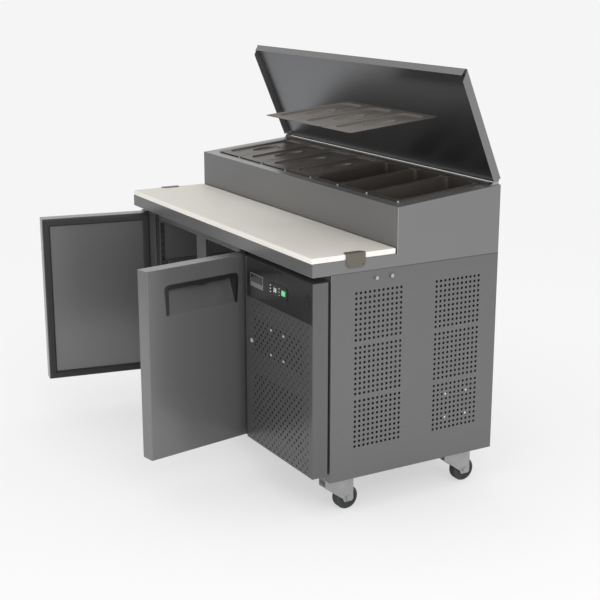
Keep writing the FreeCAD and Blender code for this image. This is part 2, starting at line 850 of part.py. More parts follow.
def door_handle():
    # trim round three sides of a bent steel scoop
    low = handle_bottom
    cut = handle_radius * (1 - math.sqrt(0.5))
    outline = [(handle_left, low), (handle_right, low), (handle_right, handle_top - handle_radius),
               (handle_right - cut, handle_top - cut), (handle_right - handle_radius, handle_top),
               (handle_left + handle_radius, handle_top), (handle_left + cut, handle_top - cut),
               (handle_left, handle_top - handle_radius)]
    trim = prism([V(x, door_face - handle_proud, z) for x, z in outline], V(0, handle_proud, 0))
    x0 = handle_left + handle_bar
    x1 = handle_right - handle_bar
    gap = block(x0, x1, door_face - handle_proud, door_face, low, handle_top - handle_bar)
    hollow = prism(scoop_profile(x0, 0), V(x1 - x0, 0, 0))
    scoop = handle_pocket(scoop_sheet).cut(hollow)
    return trim.cut(gap).fuse(scoop).removeSplitter()


def door_brackets():
    shapes = []
    for mirrored in (False, True):
        for end, out in ((door_bottom, -1), (door_top, 1)):
            near = end + out * bracket_clearance
            far = near + out * bracket_sheet
            low = min(near, far)
            high = max(near, far)
            arm = block(pivot_x - bracket_width / 2, pivot_x + bracket_width / 2,
                        pivot_y - bracket_reach, frame_front, low, high)
            back_far = far + out * bracket_flange
            flange = block(pivot_x - bracket_width / 2, pivot_x + bracket_width / 2,
                           frame_front - bracket_sheet, frame_front, min(low, back_far), max(high, back_far))
            pin = bar(V(pivot_x, pivot_y, near), V(0, 0, -out), pivot_pin_diameter / 2,
                      bracket_clearance + pivot_pin_length, large_round_sides)
            washer = bar(V(pivot_x, pivot_y, near), V(0, 0, -out), pivot_pin_diameter,
                         bracket_clearance - touch_gap, round_sides)
            shape = joined([arm, flange, pin, washer])
            if mirrored:
                shape = shape.mirror(V(door_centre, 0, 0), x_dir)
            shapes.append(shape)
    return shapes


# ---- Cabinet ----
def cabinet_body():
    # outer skin of the insulated part, open to the front frame
    outer = block(-half_width, bay_left, frame_rear, body_rear, body_bottom, body_top)
    inner = block(-half_width + sheet, bay_left - sheet, frame_rear, body_rear - sheet,
                  body_bottom + sheet, body_top - sheet)
    return outer.cut(inner)


def cabinet_liner():
    outer = block(cavity_left - sheet, cavity_right + sheet, frame_rear,
                  cavity_rear + sheet, frame_opening_bottom - sheet,
                  frame_opening_top + sheet)
    inner = block(cavity_left, cavity_right, frame_rear, cavity_rear, frame_opening_bottom,
                  frame_opening_top)
    return outer.cut(inner)


def front_frame():
    # stiles, mullion and rails round the two door openings and the compressor bay
    frame = block(-half_width, half_width - sheet, frame_front, frame_rear, body_bottom, body_top)
    left = block(cavity_left, door_centre - mullion / 2, frame_front, frame_rear,
                 frame_opening_bottom, frame_opening_top)
    right = block(door_centre + mullion / 2, cavity_right, frame_front, frame_rear,
                  frame_opening_bottom, frame_opening_top)
    bay = block(bay_left + bay_stile, half_width - sheet - bay_stile, frame_front, frame_rear,
                body_bottom + bay_rail, body_top - bay_rail)
    return frame.cut(left).cut(right).cut(bay)


def pilaster(slots_facing):
    # slotted strip drawn from the cavity's floor up, its slots facing +X
    length = frame_opening_top - frame_opening_bottom - 2 * pilaster_end_gap
    outline = closed([V(0, -pilaster_width / 2, 0), V(0, pilaster_width / 2, 0),
                      V(0, pilaster_width / 2, length), V(0, -pilaster_width / 2, length)])
    holes = []
    for i in range(slot_count):
        z = length - slot_top_gap - i * slot_pitch
        holes.append(closed([V(0, -slot_size / 2, z + slot_size / 2), V(0, slot_size / 2, z + slot_size / 2),
                             V(0, 0, z - slot_size / 2)]))
    return plate(outline, holes, V(slots_facing * pilaster_sheet, 0, 0))


def shelf_pilasters():
    z = frame_opening_bottom + pilaster_end_gap
    front = frame_rear + pilaster_gap + pilaster_width / 2
    rear = cavity_rear - rear_pilaster_gap
    shapes = []
    for y in (front, rear):
        shapes.append(moved(pilaster(1), V(cavity_left, y, z)))
        shapes.append(moved(pilaster(-1), V(cavity_right, y, z)))
        for wall, inward in ((cavity_left, 1), (cavity_right, -1)):
            x0 = wall + inward * pilaster_sheet
            x1 = wall + inward * (shelf_side_gap + shelf_frame_wire)
            shapes.append(block(min(x0, x1), max(x0, x1), y - shelf_clip_width / 2, y + shelf_clip_width / 2,
                                shelf_z - shelf_frame_wire / 2 - touch_gap - shelf_clip_height,
                                shelf_z - shelf_frame_wire / 2 - touch_gap))
    # the inner ends rest on bars from the mullion and from the rear wall
    bar_half = shelf_inner_gap + shelf_frame_wire
    for y0, y1 in ((frame_rear, frame_rear + pilaster_gap + pilaster_width),
                   (rear, cavity_rear)):
        shapes.append(block(door_centre - bar_half, door_centre + bar_half, y0, y1,
                            shelf_z - shelf_frame_wire / 2 - touch_gap - shelf_clip_height,
                            shelf_z - shelf_frame_wire / 2 - touch_gap))
    return shapes


def shelf(side):
    if side == "left":
        x0 = cavity_left + shelf_side_gap
        x1 = door_centre - shelf_inner_gap
    else:
        x0 = door_centre + shelf_inner_gap
        x1 = cavity_right - shelf_side_gap
    y0 = frame_rear + shelf_front_gap
    y1 = cavity_rear - shelf_back_gap
    thick = shelf_frame_wire / 2
    thin = shelf_wire / 2
    rods = []
    for x in (x0 + thick, x1 - thick):
        rods.append(bar(V(x, y0, shelf_z), y_dir, thick, y1 - y0))
    for y in (y0 + thick, (y0 + y1) / 2, y1 - thick):
        rods.append(bar(V(x0 + thick, y, shelf_z), x_dir, thick, x1 - x0 - 2 * thick))
    count = int((x1 - x0 - 2 * shelf_frame_wire) / shelf_pitch)
    step = (x1 - x0 - 2 * thick) / (count + 1)
    for i in range(1, count + 1):
        rods.append(bar(V(x0 + thick + i * step, y0 + thin, shelf_z + thin), y_dir, thin, y1 - y0 - 2 * thin,
                        wire_sides))
    return joined(rods)


# ---- Compressor bay ----
def side_panel():
    # flat panel with blocks of perforation; each row of square holes is one slot
    y0 = frame_front
    y1 = body_rear - side_seam
    outline = closed([V(bay_right, y0, body_bottom), V(bay_right, y1, body_bottom),
                      V(bay_right, y1, body_top), V(bay_right, y0, body_top)])
    holes = []
    row_length = (perf_columns - 1) * perf_pitch + perf_size
    for column in range(perf_blocks_deep):
        for level in range(perf_blocks_high):
            for row in range(perf_rows):
                y = perf_first_y - perf_size / 2 + column * perf_block_step
                z = perf_first_z + level * perf_block_pitch + row * perf_pitch
                z_low = z - perf_size / 2
                z_high = z + perf_size / 2
                holes.append(closed([V(bay_right, y, z_low), V(bay_right, y + row_length, z_low),
                                     V(bay_right, y + row_length, z_high), V(bay_right, y, z_high)]))
    return plate(outline, holes, V(sheet, 0, 0))


def rear_panel():
    # plain sheet with louvre slots over its lower part
    outline = closed([V(bay_left, body_rear, body_bottom), V(bay_right, body_rear, body_bottom),
                      V(bay_right, body_rear, body_top), V(bay_left, body_rear, body_top)])
    holes = []
    for row in range(louvre_rows):
        z = body_bottom + louvre_first + row * louvre_pitch
        holes.append(closed([V(bay_left + louvre_margin, body_rear, z),
                             V(bay_right - louvre_margin, body_rear, z),
                             V(bay_right - louvre_margin, body_rear, z + louvre_height),
                             V(bay_left + louvre_margin, body_rear, z + louvre_height)]))
    return plate(outline, holes, V(0, -sheet, 0))


def base_chassis():
    # floor tray of the bay
    top = body_bottom + chassis_wall
    tray = block(bay_left, bay_right, frame_rear, body_rear - sheet, body_bottom, top)
    inner = block(bay_left + chassis_sheet, bay_right - chassis_sheet, frame_rear + chassis_sheet,
                  body_rear - sheet - chassis_sheet, body_bottom + chassis_sheet, top)
    return tray.cut(inner)


def front_vent_panel():
    outer = block(vent_left, vent_right, door_face, vent_rear, door_bottom, door_top)
    inner = block(vent_left + sheet, vent_right - sheet, door_face + sheet, vent_rear,
                  door_bottom + sheet, door_top - sheet)
    shell = outer.cut(inner)
    pieces = [shell]
    for z in (door_bottom, door_top - sheet):
        pieces.append(block(vent_left + vent_flange, vent_right - vent_flange, vent_rear, frame_front,
                            z, z + sheet))
    shell = joined(pieces)
    row_left = vent_left + vent_side_margin
    row_right = vent_right - vent_side_margin
    slots = []
    for row in range(vent_rows):
        z = vent_bottom + row * vent_pitch
        slots.append(block(row_left, row_right, door_face - overcut, door_face + sheet + overcut,
                           z, z + vent_slot))
    return shell.cut(Part.makeCompound(slots)).cut(controller_cut())


def vent_backing():
    y = frame_front - sheet
    foot = door_bottom + sheet
    head = fascia_bottom - backing_drop
    outline = closed([V(backing_left, y, foot), V(backing_right, y, foot), V(backing_right, y, head),
                      V(backing_left, y, head)])
    x0 = backing_left + window_inset
    x1 = backing_right - window_inset
    holes = []
    for z0, z1 in ((window_lower_bottom, window_lower_top), (window_upper_bottom, window_upper_top)):
        holes.append(closed([V(x0, y, z0), V(x1, y, z0), V(x1, y, z1), V(x0, y, z1)]))
    return plate(outline, holes, V(0, sheet, 0))


def controller_cut():
    return block(controller_left + bezel_edge, controller_left + controller_width - bezel_edge,
                 controller_face - overcut, vent_rear, controller_bottom + bezel_edge,
                 controller_bottom + controller_height - bezel_edge)


def control_fascia():
    cx = (fascia_left + fascia_right) / 2
    cz = (fascia_bottom + door_top) / 2
    flat = rounded_block(0, 0, fascia_right - fascia_left, door_top - fascia_bottom, fascia_radius,
                         0, fascia_sheet)
    return upright(flat, cx, door_face, cz).cut(controller_cut())


def controller():
    # bezel, housing behind it, a sunk display and a well for the rocker
    bezel = rounded_block(0, 0, controller_width, controller_height, controller_radius, 0, controller_proud)
    bezel = upright(bezel, controller_cx, fascia_face, controller_cz)
    inset = bezel_edge + touch_gap
    housing = block(controller_left + inset, controller_left + controller_width - inset,
                    fascia_face, fascia_face + controller_body_depth,
                    controller_bottom + inset, controller_bottom + controller_height - inset)
    display = block(display_left, display_left + display_width, controller_face,
                    controller_face + display_recess,
                    controller_cz - display_height / 2, controller_cz + display_height / 2)
    well = block(switch_left - touch_gap, switch_left + switch_width + touch_gap, controller_face,
                 controller_face + switch_body,
                 controller_cz - switch_height / 2 - switch_gap,
                 controller_cz + switch_height / 2 + switch_gap)
    axle_start = V(switch_left - switch_axle_end - touch_gap, controller_face + switch_axle_depth,
                   controller_cz)
    hole = bore(axle_start, x_dir, switch_axle_diameter / 2,
                switch_width + 2 * (switch_axle_end + touch_gap), pin_sides)
    return bezel.fuse(housing).cut(display).cut(well).cut(hole)


def power_switch():
    # rocker whose two faces meet at its axle line
    y = controller_face
    half = switch_height / 2
    rear = y + switch_body_depth
    outline = [V(switch_left, y - switch_ridge, controller_cz),
               V(switch_left, y + switch_ridge, controller_cz + half),
               V(switch_left, rear, controller_cz + half - switch_draft),
               V(switch_left, rear, controller_cz - half + switch_draft),
               V(switch_left, y + switch_ridge, controller_cz - half)]
    rocker = prism(outline, V(switch_width, 0, 0))
    centre = V(switch_left - switch_axle_end, y + switch_axle_depth, controller_cz)
    axle = bar(centre, x_dir, switch_axle_diameter / 2, switch_width + 2 * switch_axle_end, pin_sides)
    return turned(rocker.fuse(axle), centre, x_dir, -switch_travel / 2)


def compressor():
    # hermetic can on a strap foot with four rubber grommets
    z0 = body_bottom + chassis_sheet + compressor_foot_height
    r = compressor_radius
    dome = compressor_dome
    shoulder = z0 + compressor_height - dome
    levels = [(r, z0), (r, shoulder)]
    for step in range(1, dome_steps + 1):
        angle = math.radians(90 * step / dome_steps)
        levels.append((r - dome * (1 - math.cos(angle)), shoulder + dome * math.sin(angle)))
    rings = [regular_points(V(compressor_x, compressor_y, z), z_dir, radius, large_round_sides)
             for radius, z in levels]
    pieces = [tapered(rings)]
    half_w = compressor_foot / 2
    half_d = compressor_foot_width / 2
    pieces.append(block(compressor_x - half_w, compressor_x + half_w, compressor_y - half_d,
                        compressor_y + half_d,
                        z0 - chassis_sheet, z0))
    pieces.append(block(compressor_x - terminal_half, compressor_x + terminal_half,
                        compressor_y - r - terminal_depth, compressor_y - r + terminal_sink,
                        z0 + terminal_bottom, z0 + terminal_bottom + 2 * terminal_half))
    for side, z in ((1, discharge_z), (-1, suction_z)):
        start = V(compressor_x + side * (r - pipe_sink), compressor_y, z)
        pieces.append(bar(start, V(side, 0, 0), 2 * pipe_radius, pipe_sink + pipe_stub))
    for sx in (-1, 1):
        for sy in (-1, 1):
            start = V(compressor_x + sx * (half_w - grommet_edge),
                      compressor_y + sy * (half_d - grommet_edge),
                      body_bottom + chassis_sheet)
            pieces.append(bar(start, z_dir, grommet_radius, compressor_foot_height - chassis_sheet,
                              round_sides))
    return joined(pieces)


def return_bend(x, y, z_low, z_high, side):
    # flat half ring that joins two rows at one end of the fins
    middle = (z_low + z_high) / 2
    reach = (z_high - z_low) / 2
    half = condenser_tube / 2
    points = []
    for radius, turn in ((reach + half, 1), (reach - half, -1)):
        for step in range(bend_steps + 1):
            angle = math.radians(turn * (180 * step / bend_steps - 90))
            points.append(V(x + side * radius * math.cos(angle), y - half, middle + radius * math.sin(angle)))
    return prism(points, V(0, condenser_tube, 0))


def condenser_coil():
    # fin pack with return bends at both ends, and its end plates down to the tray
    x0 = condenser_left
    x1 = condenser_left + condenser_width
    y0 = condenser_front
    y1 = condenser_front + condenser_depth
    z0 = condenser_bottom
    z1 = condenser_bottom + condenser_height
    shapes = [block(x0, x1, y0, y1, z0, z1)]
    for x in (x0 - end_plate, x1):
        shapes.append(block(x, x + end_plate, y0 - end_plate, y1 + end_plate, body_bottom + chassis_sheet,
                            z1 + end_plate))
    step = condenser_height / condenser_rows
    for row in range(condenser_rows - 1):
        z = z0 + (row + 0.5) * step
        side = 1 if row % 2 == 0 else -1
        x = x1 + end_plate if side > 0 else x0 - end_plate
        shapes.append(return_bend(x, (y0 + y1) / 2, z, z + step, side))
    return joined(shapes)


def fan_shroud():
    # box behind the condenser with a round throat for the fan
    x0 = condenser_left - end_plate
    x1 = condenser_left + condenser_width + end_plate
    z0 = body_bottom + chassis_sheet
    z1 = condenser_bottom + condenser_height + shroud_gap
    outer = block(x0, x1, shroud_front, shroud_rear, z0, z1)
    inner = block(x0 + shroud_sheet, x1 - shroud_sheet, shroud_front, shroud_rear - shroud_sheet,
                  z0 + shroud_sheet, z1 - shroud_sheet)
    throat = bar(V(fan_x, shroud_rear - shroud_sheet, fan_z), y_dir, fan_radius + fan_tip_gap, shroud_sheet,
                 throat_sides)
    return outer.cut(inner).cut(throat)


def fan_motor():
    # motor on a cross arm behind the shroud; its shaft carries the fan
    front = shroud_rear + motor_gap
    body = bar(V(fan_x, front, fan_z), y_dir, motor_radius, motor_length, large_round_sides)
    shaft_start = fan_front + hub_cap
    shaft = bar(V(fan_x, shaft_start, fan_z), y_dir, fan_shaft_diameter / 2, front - shaft_start, pin_sides)
    arm_x = fan_radius + fan_tip_gap + motor_leg
    rear = front + arm_sheet
    arm = block(fan_x - arm_x, fan_x + arm_x, front, rear, fan_z - motor_arm, fan_z + motor_arm)
    pieces = [body, shaft, arm]
    for side in (-1, 1):
        x = fan_x + side * arm_x
        pieces.append(block(min(x, x - side * motor_leg), max(x, x - side * motor_leg), shroud_rear, rear,
                            fan_z - motor_arm, fan_z + motor_arm))
    return joined(pieces)


def fan_blade():
    # hub with a blind bore and pitched vanes, their tips' corners on the fan's circle
    hub = bar(V(fan_x, fan_front, fan_z), y_dir, fan_hub_radius, fan_hub_length, large_round_sides)
    pieces = [hub]
    reach = math.sqrt(fan_radius ** 2 - (vane_half * math.cos(math.radians(fan_pitch_angle))) ** 2)
    for i in range(fan_blades):
        vane = block(fan_hub_radius - vane_sink, reach, -vane_sheet / 2, vane_sheet / 2,
                     -vane_half, vane_half)
        vane = turned(vane, V(0, 0, 0), x_dir, 90 - fan_pitch_angle)
        vane = turned(vane, V(0, 0, 0), y_dir, i * 360 / fan_blades)
        pieces.append(moved(vane, V(fan_x, fan_front + fan_hub_length / 2, fan_z)))
    hole = bore(V(fan_x, fan_front + hub_cap - shaft_end_gap, fan_z), y_dir, fan_shaft_diameter / 2,
                fan_hub_length, pin_sides)
    return joined(pieces).cut(hole)


def tube_along(points, radius, bend):
    # straight runs with each corner turned in two steps, mitred where they meet
    path = [points[0]]
    for before, corner, after in zip(points, points[1:], points[2:]):
        path.append(corner + (before - corner).normalize() * bend)
        path.append(corner + (after - corner).normalize() * bend)
    path.append(points[-1])
    headings = [(far - near).normalize() for near, far in zip(path, path[1:])]
    sections = [regular_points(path[0], headings[0], radius, 6)]
    for i, heading in enumerate(headings):
        cut = heading + headings[min(i + 1, len(headings) - 1)]
        sections.append([p + heading * ((path[i + 1] - p).dot(cut) / heading.dot(cut)) for p in sections[-1]])
    return tapered(sections)


def refrigerant_pipes():
    coil_y = condenser_front + condenser_depth / 2
    coil_x = condenser_left + condenser_width + end_plate
    coil_z = condenser_bottom + condenser_height - condenser_height / condenser_rows / 2
    side_x = compressor_x + compressor_radius + pipe_stub
    far_x = coil_x + 2 * pipe_bend
    discharge = [V(side_x, compressor_y, discharge_z), V(far_x, compressor_y, discharge_z),
                 V(far_x, compressor_y, coil_z), V(far_x, coil_y, coil_z), V(coil_x, coil_y, coil_z)]
    near_x = compressor_x - compressor_radius - pipe_stub
    turn_x = near_x - 2 * pipe_bend
    suction = [V(near_x, compressor_y, suction_z), V(turn_x, compressor_y, suction_z),
               V(turn_x, compressor_y, suction_wall_z), V(bay_left, compressor_y, suction_wall_z)]
    return [tube_along(discharge, pipe_radius, pipe_bend), tube_along(suction, pipe_radius, pipe_bend)]


# ---- Casters ----
def caster_sites():
    return (("front_left", -caster_x, caster_front_swivel), ("front_right", caster_x, caster_front_swivel),
            ("rear_left", -caster_x, caster_rear_swivel), ("rear_right", caster_x, caster_rear_swivel))


def plate_centre(y):
    # the plates reach inwards from the swivels
    return y + (plate_shift_front if y < 0 else plate_shift_rear)


def caster_plate(x, y):
    outline = ring_points(x, plate_centre(y), plate_width, plate_length, plate_corner, plate_bottom)
    flat = prism(outline, V(0, 0, plate_thickness))
    race_bottom = fork_crown_top + touch_gap
    race = bar(V(x, y, race_bottom), z_dir, race_radius, plate_bottom - race_bottom, large_round_sides)
    hole = bore(V(x, y, fork_crown_top), z_dir, kingpin_radius, body_bottom - fork_crown_top, pin_sides)
    return flat.fuse(race).cut(hole)


def caster_fork():
    # drawn with the swivel axis at the origin and the wheel trailing towards +Y
    inner = wheel_width / 2 + fork_gap
    outer = inner + fork_sheet
    cheek = [V(0, caster_trail + cheek_half, fork_crown_top),
             V(0, caster_trail + cheek_half, wheel_radius - cheek_corner),
             V(0, caster_trail + cheek_foot, wheel_radius - cheek_drop),
             V(0, caster_trail - cheek_foot, wheel_radius - cheek_drop),
             V(0, caster_trail - cheek_half, wheel_radius),
             V(0, -fork_crown_radius, fork_crown_top - cheek_skirt),
             V(0, -fork_crown_radius, fork_crown_top)]
    shapes = []
    for x in (-outer, inner):
        shapes.append(prism([p + V(x, 0, 0) for p in cheek], V(fork_sheet, 0, 0)))
    shapes.append(block(-outer, outer, -fork_crown_radius, caster_trail + cheek_half,
                        fork_crown_top - fork_sheet, fork_crown_top))
    kingpin_length = plate_bottom - fork_crown_top + kingpin_reach
    shapes.append(bar(V(0, 0, fork_crown_top), z_dir, kingpin_radius, kingpin_length, pin_sides))
    shapes.append(bar(V(-outer, caster_trail, wheel_radius), x_dir, axle_radius, 2 * outer, pin_sides))
    for side in (-1, 1):
        shapes.append(bar(V(side * outer, caster_trail, wheel_radius), V(side, 0, 0), axle_head_radius,
                          axle_head_height))
    return joined(shapes)


def caster_wheel():
    # many-sided tyre that stands on a corner of its outline
    start = V(-wheel_width / 2, caster_trail, wheel_radius)
    tyre = bar(start, x_dir, wheel_radius, wheel_width, wheel_sides)
    return tyre.cut(bore(start, x_dir, axle_radius, wheel_width, pin_sides))


# ---- Fasteners ----
def fasteners():
    # two round knobs on the side panel, and the bolts of the caster plates
    shapes = []
    for side in (-1, 1):
        y = knob_y + side * knob_spacing / 2
        shapes.append(bar(V(half_width, y, knob_z), x_dir, knob_diameter / 2, knob_height,
                          large_round_sides))
    for name, x, y in caster_sites():
        for sx in (-1, 1):
            for sy in (-1, 1):
                head = V(x + sx * (plate_width / 2 - bolt_side_gap),
                         plate_centre(y) + sy * (plate_length / 2 - bolt_end_gap), plate_bottom)
                shapes.append(bar(head, V(0, 0, -1), bolt_radius, bolt_head))
    return shapes


os.makedirs("parts", exist_ok=True)

save("worktop_collar", worktop_collar())
save("pan_well", pan_well())
save("pan_frame", pan_frame())
save("cutting_board", cutting_board())
save("board_brackets", board_clips())

for number in range(1, pan_count + 1):
    across = V(pan_x(number), 0, 0)
    save("pan_%d" % number, moved(on_collar(food_pan()), across))
    lid = moved(on_collar(pan_lid()), across)
    if number >= first_raised_lid:
        lid = moved(lid, V(0, -lid_raised_forward, lid_raised_up))
    save("pan_lid_%d" % number, lid)

save("cover_shell", cover_shell())
save("cover_liner", cover_liner())
save("hinge_brackets", cover_gussets() + door_brackets())

for door_side in ("left", "right"):
    save(door_side + "_door_skin", place_door(door_skin(), door_side))
    save(door_side + "_door_liner", place_door(door_liner(), door_side))
    save(door_side + "_door_gasket", place_door(door_gasket(), door_side))
    save(door_side + "_door_handle", place_door(door_handle(), door_side))
    save("shelf_" + door_side, shelf(door_side))

save("cabinet_body", cabinet_body())
save("cabinet_liner", cabinet_liner())
save("front_frame", front_frame())
save("shelf_pilasters", shelf_pilasters())

save("side_panel", side_panel())
save("rear_panel", rear_panel())
save("base_chassis", base_chassis())
save("front_vent_panel", front_vent_panel())
save("vent_backing", vent_backing())
save("control_fascia", control_fascia())
save("controller", controller())
save("power_switch", power_switch())

save("compressor", compressor())
save("condenser_coil", condenser_coil())
save("fan_shroud", fan_shroud())
save("fan_motor", fan_motor())
save("fan_blade", fan_blade())
save("refrigerant_pipes", refrigerant_pipes())

save("caster_plates", [caster_plate(x, y) for name, x, y in caster_sites()])
for site, caster_at_x, caster_at_y in caster_sites():
    spot = V(caster_at_x, caster_at_y, 0)
    save("caster_fork_" + site, moved(caster_fork(), spot))
    save("caster_wheel_" + site, moved(caster_wheel(), spot))
save("fasteners", fasteners())
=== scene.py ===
import json
import math
import bpy
from mathutils import Matrix, Vector


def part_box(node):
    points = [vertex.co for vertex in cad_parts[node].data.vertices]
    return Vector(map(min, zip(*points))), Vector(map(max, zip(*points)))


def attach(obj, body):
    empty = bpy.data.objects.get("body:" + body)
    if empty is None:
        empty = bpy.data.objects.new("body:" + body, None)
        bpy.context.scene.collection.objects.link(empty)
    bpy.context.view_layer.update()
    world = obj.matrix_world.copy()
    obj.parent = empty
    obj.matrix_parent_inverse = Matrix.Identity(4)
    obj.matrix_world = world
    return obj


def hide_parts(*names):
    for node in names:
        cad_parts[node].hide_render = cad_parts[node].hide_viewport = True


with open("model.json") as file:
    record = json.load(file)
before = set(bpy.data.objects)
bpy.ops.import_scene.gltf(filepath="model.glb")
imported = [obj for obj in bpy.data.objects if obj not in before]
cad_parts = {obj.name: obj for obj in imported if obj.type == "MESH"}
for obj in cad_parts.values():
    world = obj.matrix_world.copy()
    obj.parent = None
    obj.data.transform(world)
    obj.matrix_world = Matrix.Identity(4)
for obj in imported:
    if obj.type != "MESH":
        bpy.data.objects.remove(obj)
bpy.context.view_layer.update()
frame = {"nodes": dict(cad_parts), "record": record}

nodes = frame["nodes"]


def srgb(value):
    # a screen grey or colour such as "757575" as linear values
    channels = [int(value[i:i + 2], 16) / 255 for i in (0, 2, 4)]
    return tuple(c / 12.92 if c < 0.04045 else ((c + 0.055) / 1.055) ** 2.4 for c in channels) + (1.0,)


# small helpers round the operators

def clearSelection():
    if bpy.context.mode != "OBJECT":
        bpy.ops.object.mode_set(mode="OBJECT")
    bpy.ops.object.select_all(action="DESELECT")


def activate(piece):
    clearSelection()
    piece.select_set(True)
    bpy.context.view_layer.objects.active = piece


def settle(piece):
    # place, turn and size go into the mesh
    activate(piece)
    bpy.ops.object.transform_apply(location=True, rotation=True, scale=True)


def startPicking(piece, kind):
    # nothing is picked, and the mesh's own marks can be set
    activate(piece)
    bpy.ops.object.mode_set(mode="EDIT")
    bpy.ops.mesh.select_mode(type=kind)
    bpy.ops.mesh.select_all(action="DESELECT")
    bpy.ops.object.mode_set(mode="OBJECT")


def pickFaces(piece, test):
    # selects the faces that pass the test, and goes into edit mode
    startPicking(piece, "FACE")
    for face in piece.data.polygons:
        face.select = bool(test(face))
    bpy.ops.object.mode_set(mode="EDIT")


def pickEdges(piece, test):
    # the same for edges, tested by their two ends
    startPicking(piece, "EDGE")
    points = piece.data.vertices
    for edge in piece.data.edges:
        edge.select = bool(test([points[i].co for i in edge.vertices]))
    bpy.ops.object.mode_set(mode="EDIT")


def pickPoints(piece, test):
    startPicking(piece, "VERT")
    for point in piece.data.vertices:
        point.select = bool(test(point.co))
    bpy.ops.object.mode_set(mode="EDIT")


def pickAll(piece):
    activate(piece)
    bpy.ops.object.mode_set(mode="EDIT")
    bpy.ops.mesh.select_all(action="SELECT")


def leaveEdit():
    bpy.ops.object.mode_set(mode="OBJECT")


def corners(node):
    # the low and the high corner of a CAD node's box
    return (Vector(c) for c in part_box(node))


def justAdded(name, scale=(1, 1, 1)):
    # the piece that an operator has just added, named and settled
    piece = bpy.context.active_object
    piece.name = name
    piece.scale = [a * b for a, b in zip(piece.scale, scale)]
    settle(piece)
    return piece


def addBlock(name, low, high):
    clearSelection()
    low, high = Vector(low), Vector(high)
    bpy.ops.mesh.primitive_cube_add(size=1, location=(low + high) / 2, scale=high - low)
    return justAdded(name)


def smoothed(piece, angle=40):
    activate(piece)
    bpy.ops.object.shade_smooth_by_angle(angle=math.radians(angle))
    return piece


def modified(piece, name, kind, **settings):
    # a modifier with these settings, applied at once
    activate(piece)
    modifier = piece.modifiers.new(name, kind)
    for setting, value in settings.items():
        setattr(modifier, setting, value)
    bpy.ops.object.modifier_apply(modifier=modifier.name)
    return piece


def bevelled(piece, width, segments=2, angle=35):
    modified(piece, "edgeRound", "BEVEL", width=width, segments=segments, limit_method="ANGLE",
             angle_limit=math.radians(angle))
    return smoothed(piece)


def evenShading(piece):
    # large flat faces keep their own normals, and the rounded edges between them take the turn
    modified(piece, "evenNormals", "WEIGHTED_NORMAL", keep_sharp=True, weight=100)


def finish(piece, tone, stands=(), body="cabinet"):
    # the tone is one of the finishes below
    evenShading(piece)
    piece.data.materials.clear()
    piece.data.materials.append(finishes[tone])
    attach(piece, body)
    if stands:
        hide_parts(*stands)
    return piece


def secondFinish(piece, tone, picks):
    # a second finish on some faces of a finished piece
    piece.data.materials.append(finishes[tone])
    for face in piece.data.polygons:
        if picks(face):
            face.material_index = 1


def joinPieces(name, parts):
    activate(parts[0])
    for part in parts[1:]:
        part.select_set(True)
    if len(parts) > 1:
        bpy.ops.object.join()
    parts[0].name = name
    return parts[0]


cadMesh = {"weld": 0.00002, "flatness": 0.5, "shape": 180}


def cadCopy(nodeName, name):
    # a merged copy of a CAD node's mesh, to be worked on
    clearSelection()
    piece = bpy.data.objects.new(name, nodes[nodeName].data.copy())
    bpy.context.scene.collection.objects.link(piece)
    piece.data.materials.clear()
    pickAll(piece)
    bpy.ops.mesh.remove_doubles(threshold=cadMesh["weld"])
    bpy.ops.mesh.tris_convert_to_quads(face_threshold=math.radians(cadMesh["flatness"]),
                                       shape_threshold=math.radians(cadMesh["shape"]))
    leaveEdit()
    bpy.ops.mesh.customdata_custom_splitnormals_clear()
    return piece


# materials: every finish is a small node tree on Object coordinates

def link(tree, source, target):
    tree.links.new(source, target)


def newNode(tree, kind, **values):
    # a shader node with some of its inputs set; an underscore in a name stands for a blank
    node = tree.nodes.new("ShaderNode" + kind)
    setInputs(node, **values)
    return node


def setInputs(node, **values):
    for name, value in values.items():
        node.inputs[name.replace("_", " ")].default_value = value


def newMaterial(name):
    material = bpy.data.materials.new(name)
    material.use_nodes = True
    tree = material.node_tree
    shader = tree.nodes["Principled BSDF"]
    return material, tree, shader, newNode(tree, "TexCoord")


def stretchedNoise(tree, coords, stretch, scale, detail):
    mapping = newNode(tree, "Mapping", Scale=stretch)
    link(tree, coords.outputs["Object"], mapping.inputs["Vector"])
    noise = newNode(tree, "TexNoise", Scale=scale, Detail=detail)
    link(tree, mapping.outputs["Vector"], noise.inputs["Vector"])
    return noise


def ranged(tree, source, low, high, fromLow=0.3, fromHigh=0.7):
    remap = newNode(tree, "MapRange", From_Min=fromLow, From_Max=fromHigh, To_Min=low, To_Max=high)
    link(tree, source, remap.inputs["Value"])
    return remap.outputs["Result"]


def mixedColour(tree, factor, dark, light):
    mix = newNode(tree, "Mix")
    mix.data_type = "RGBA"
    # the node's colour sockets share their names with its other ones
    link(tree, factor, mix.inputs["Factor"])
    mix.inputs[6].default_value = dark
    mix.inputs[7].default_value = light
    return mix.outputs[2]


def bumped(tree, shader, source, strength, distance):
    bump = newNode(tree, "Bump", Strength=strength, Distance=distance)
    link(tree, source, bump.inputs["Height"])
    link(tree, bump.outputs["Normal"], shader.inputs["Normal"])


metalLook = {
    "specular": 0.2,
    "lineScale": 3.0,
    "lineDetail": 3.0,
    "lineSpan": (0.2, 0.8),
    "cloudScale": 2.2,
    "cloudDetail": 2.0,
    "glossSpread": 0.03,
    "bump": 0.15,
}


def tonePair(tone, spread):
    # a little darker and a little lighter than the tone
    base = srgb(tone)[:3]
    return (tuple(c * (1 - spread) for c in base) + (1.0,),
            tuple(min(1, c * (1 + spread)) for c in base) + (1.0,))


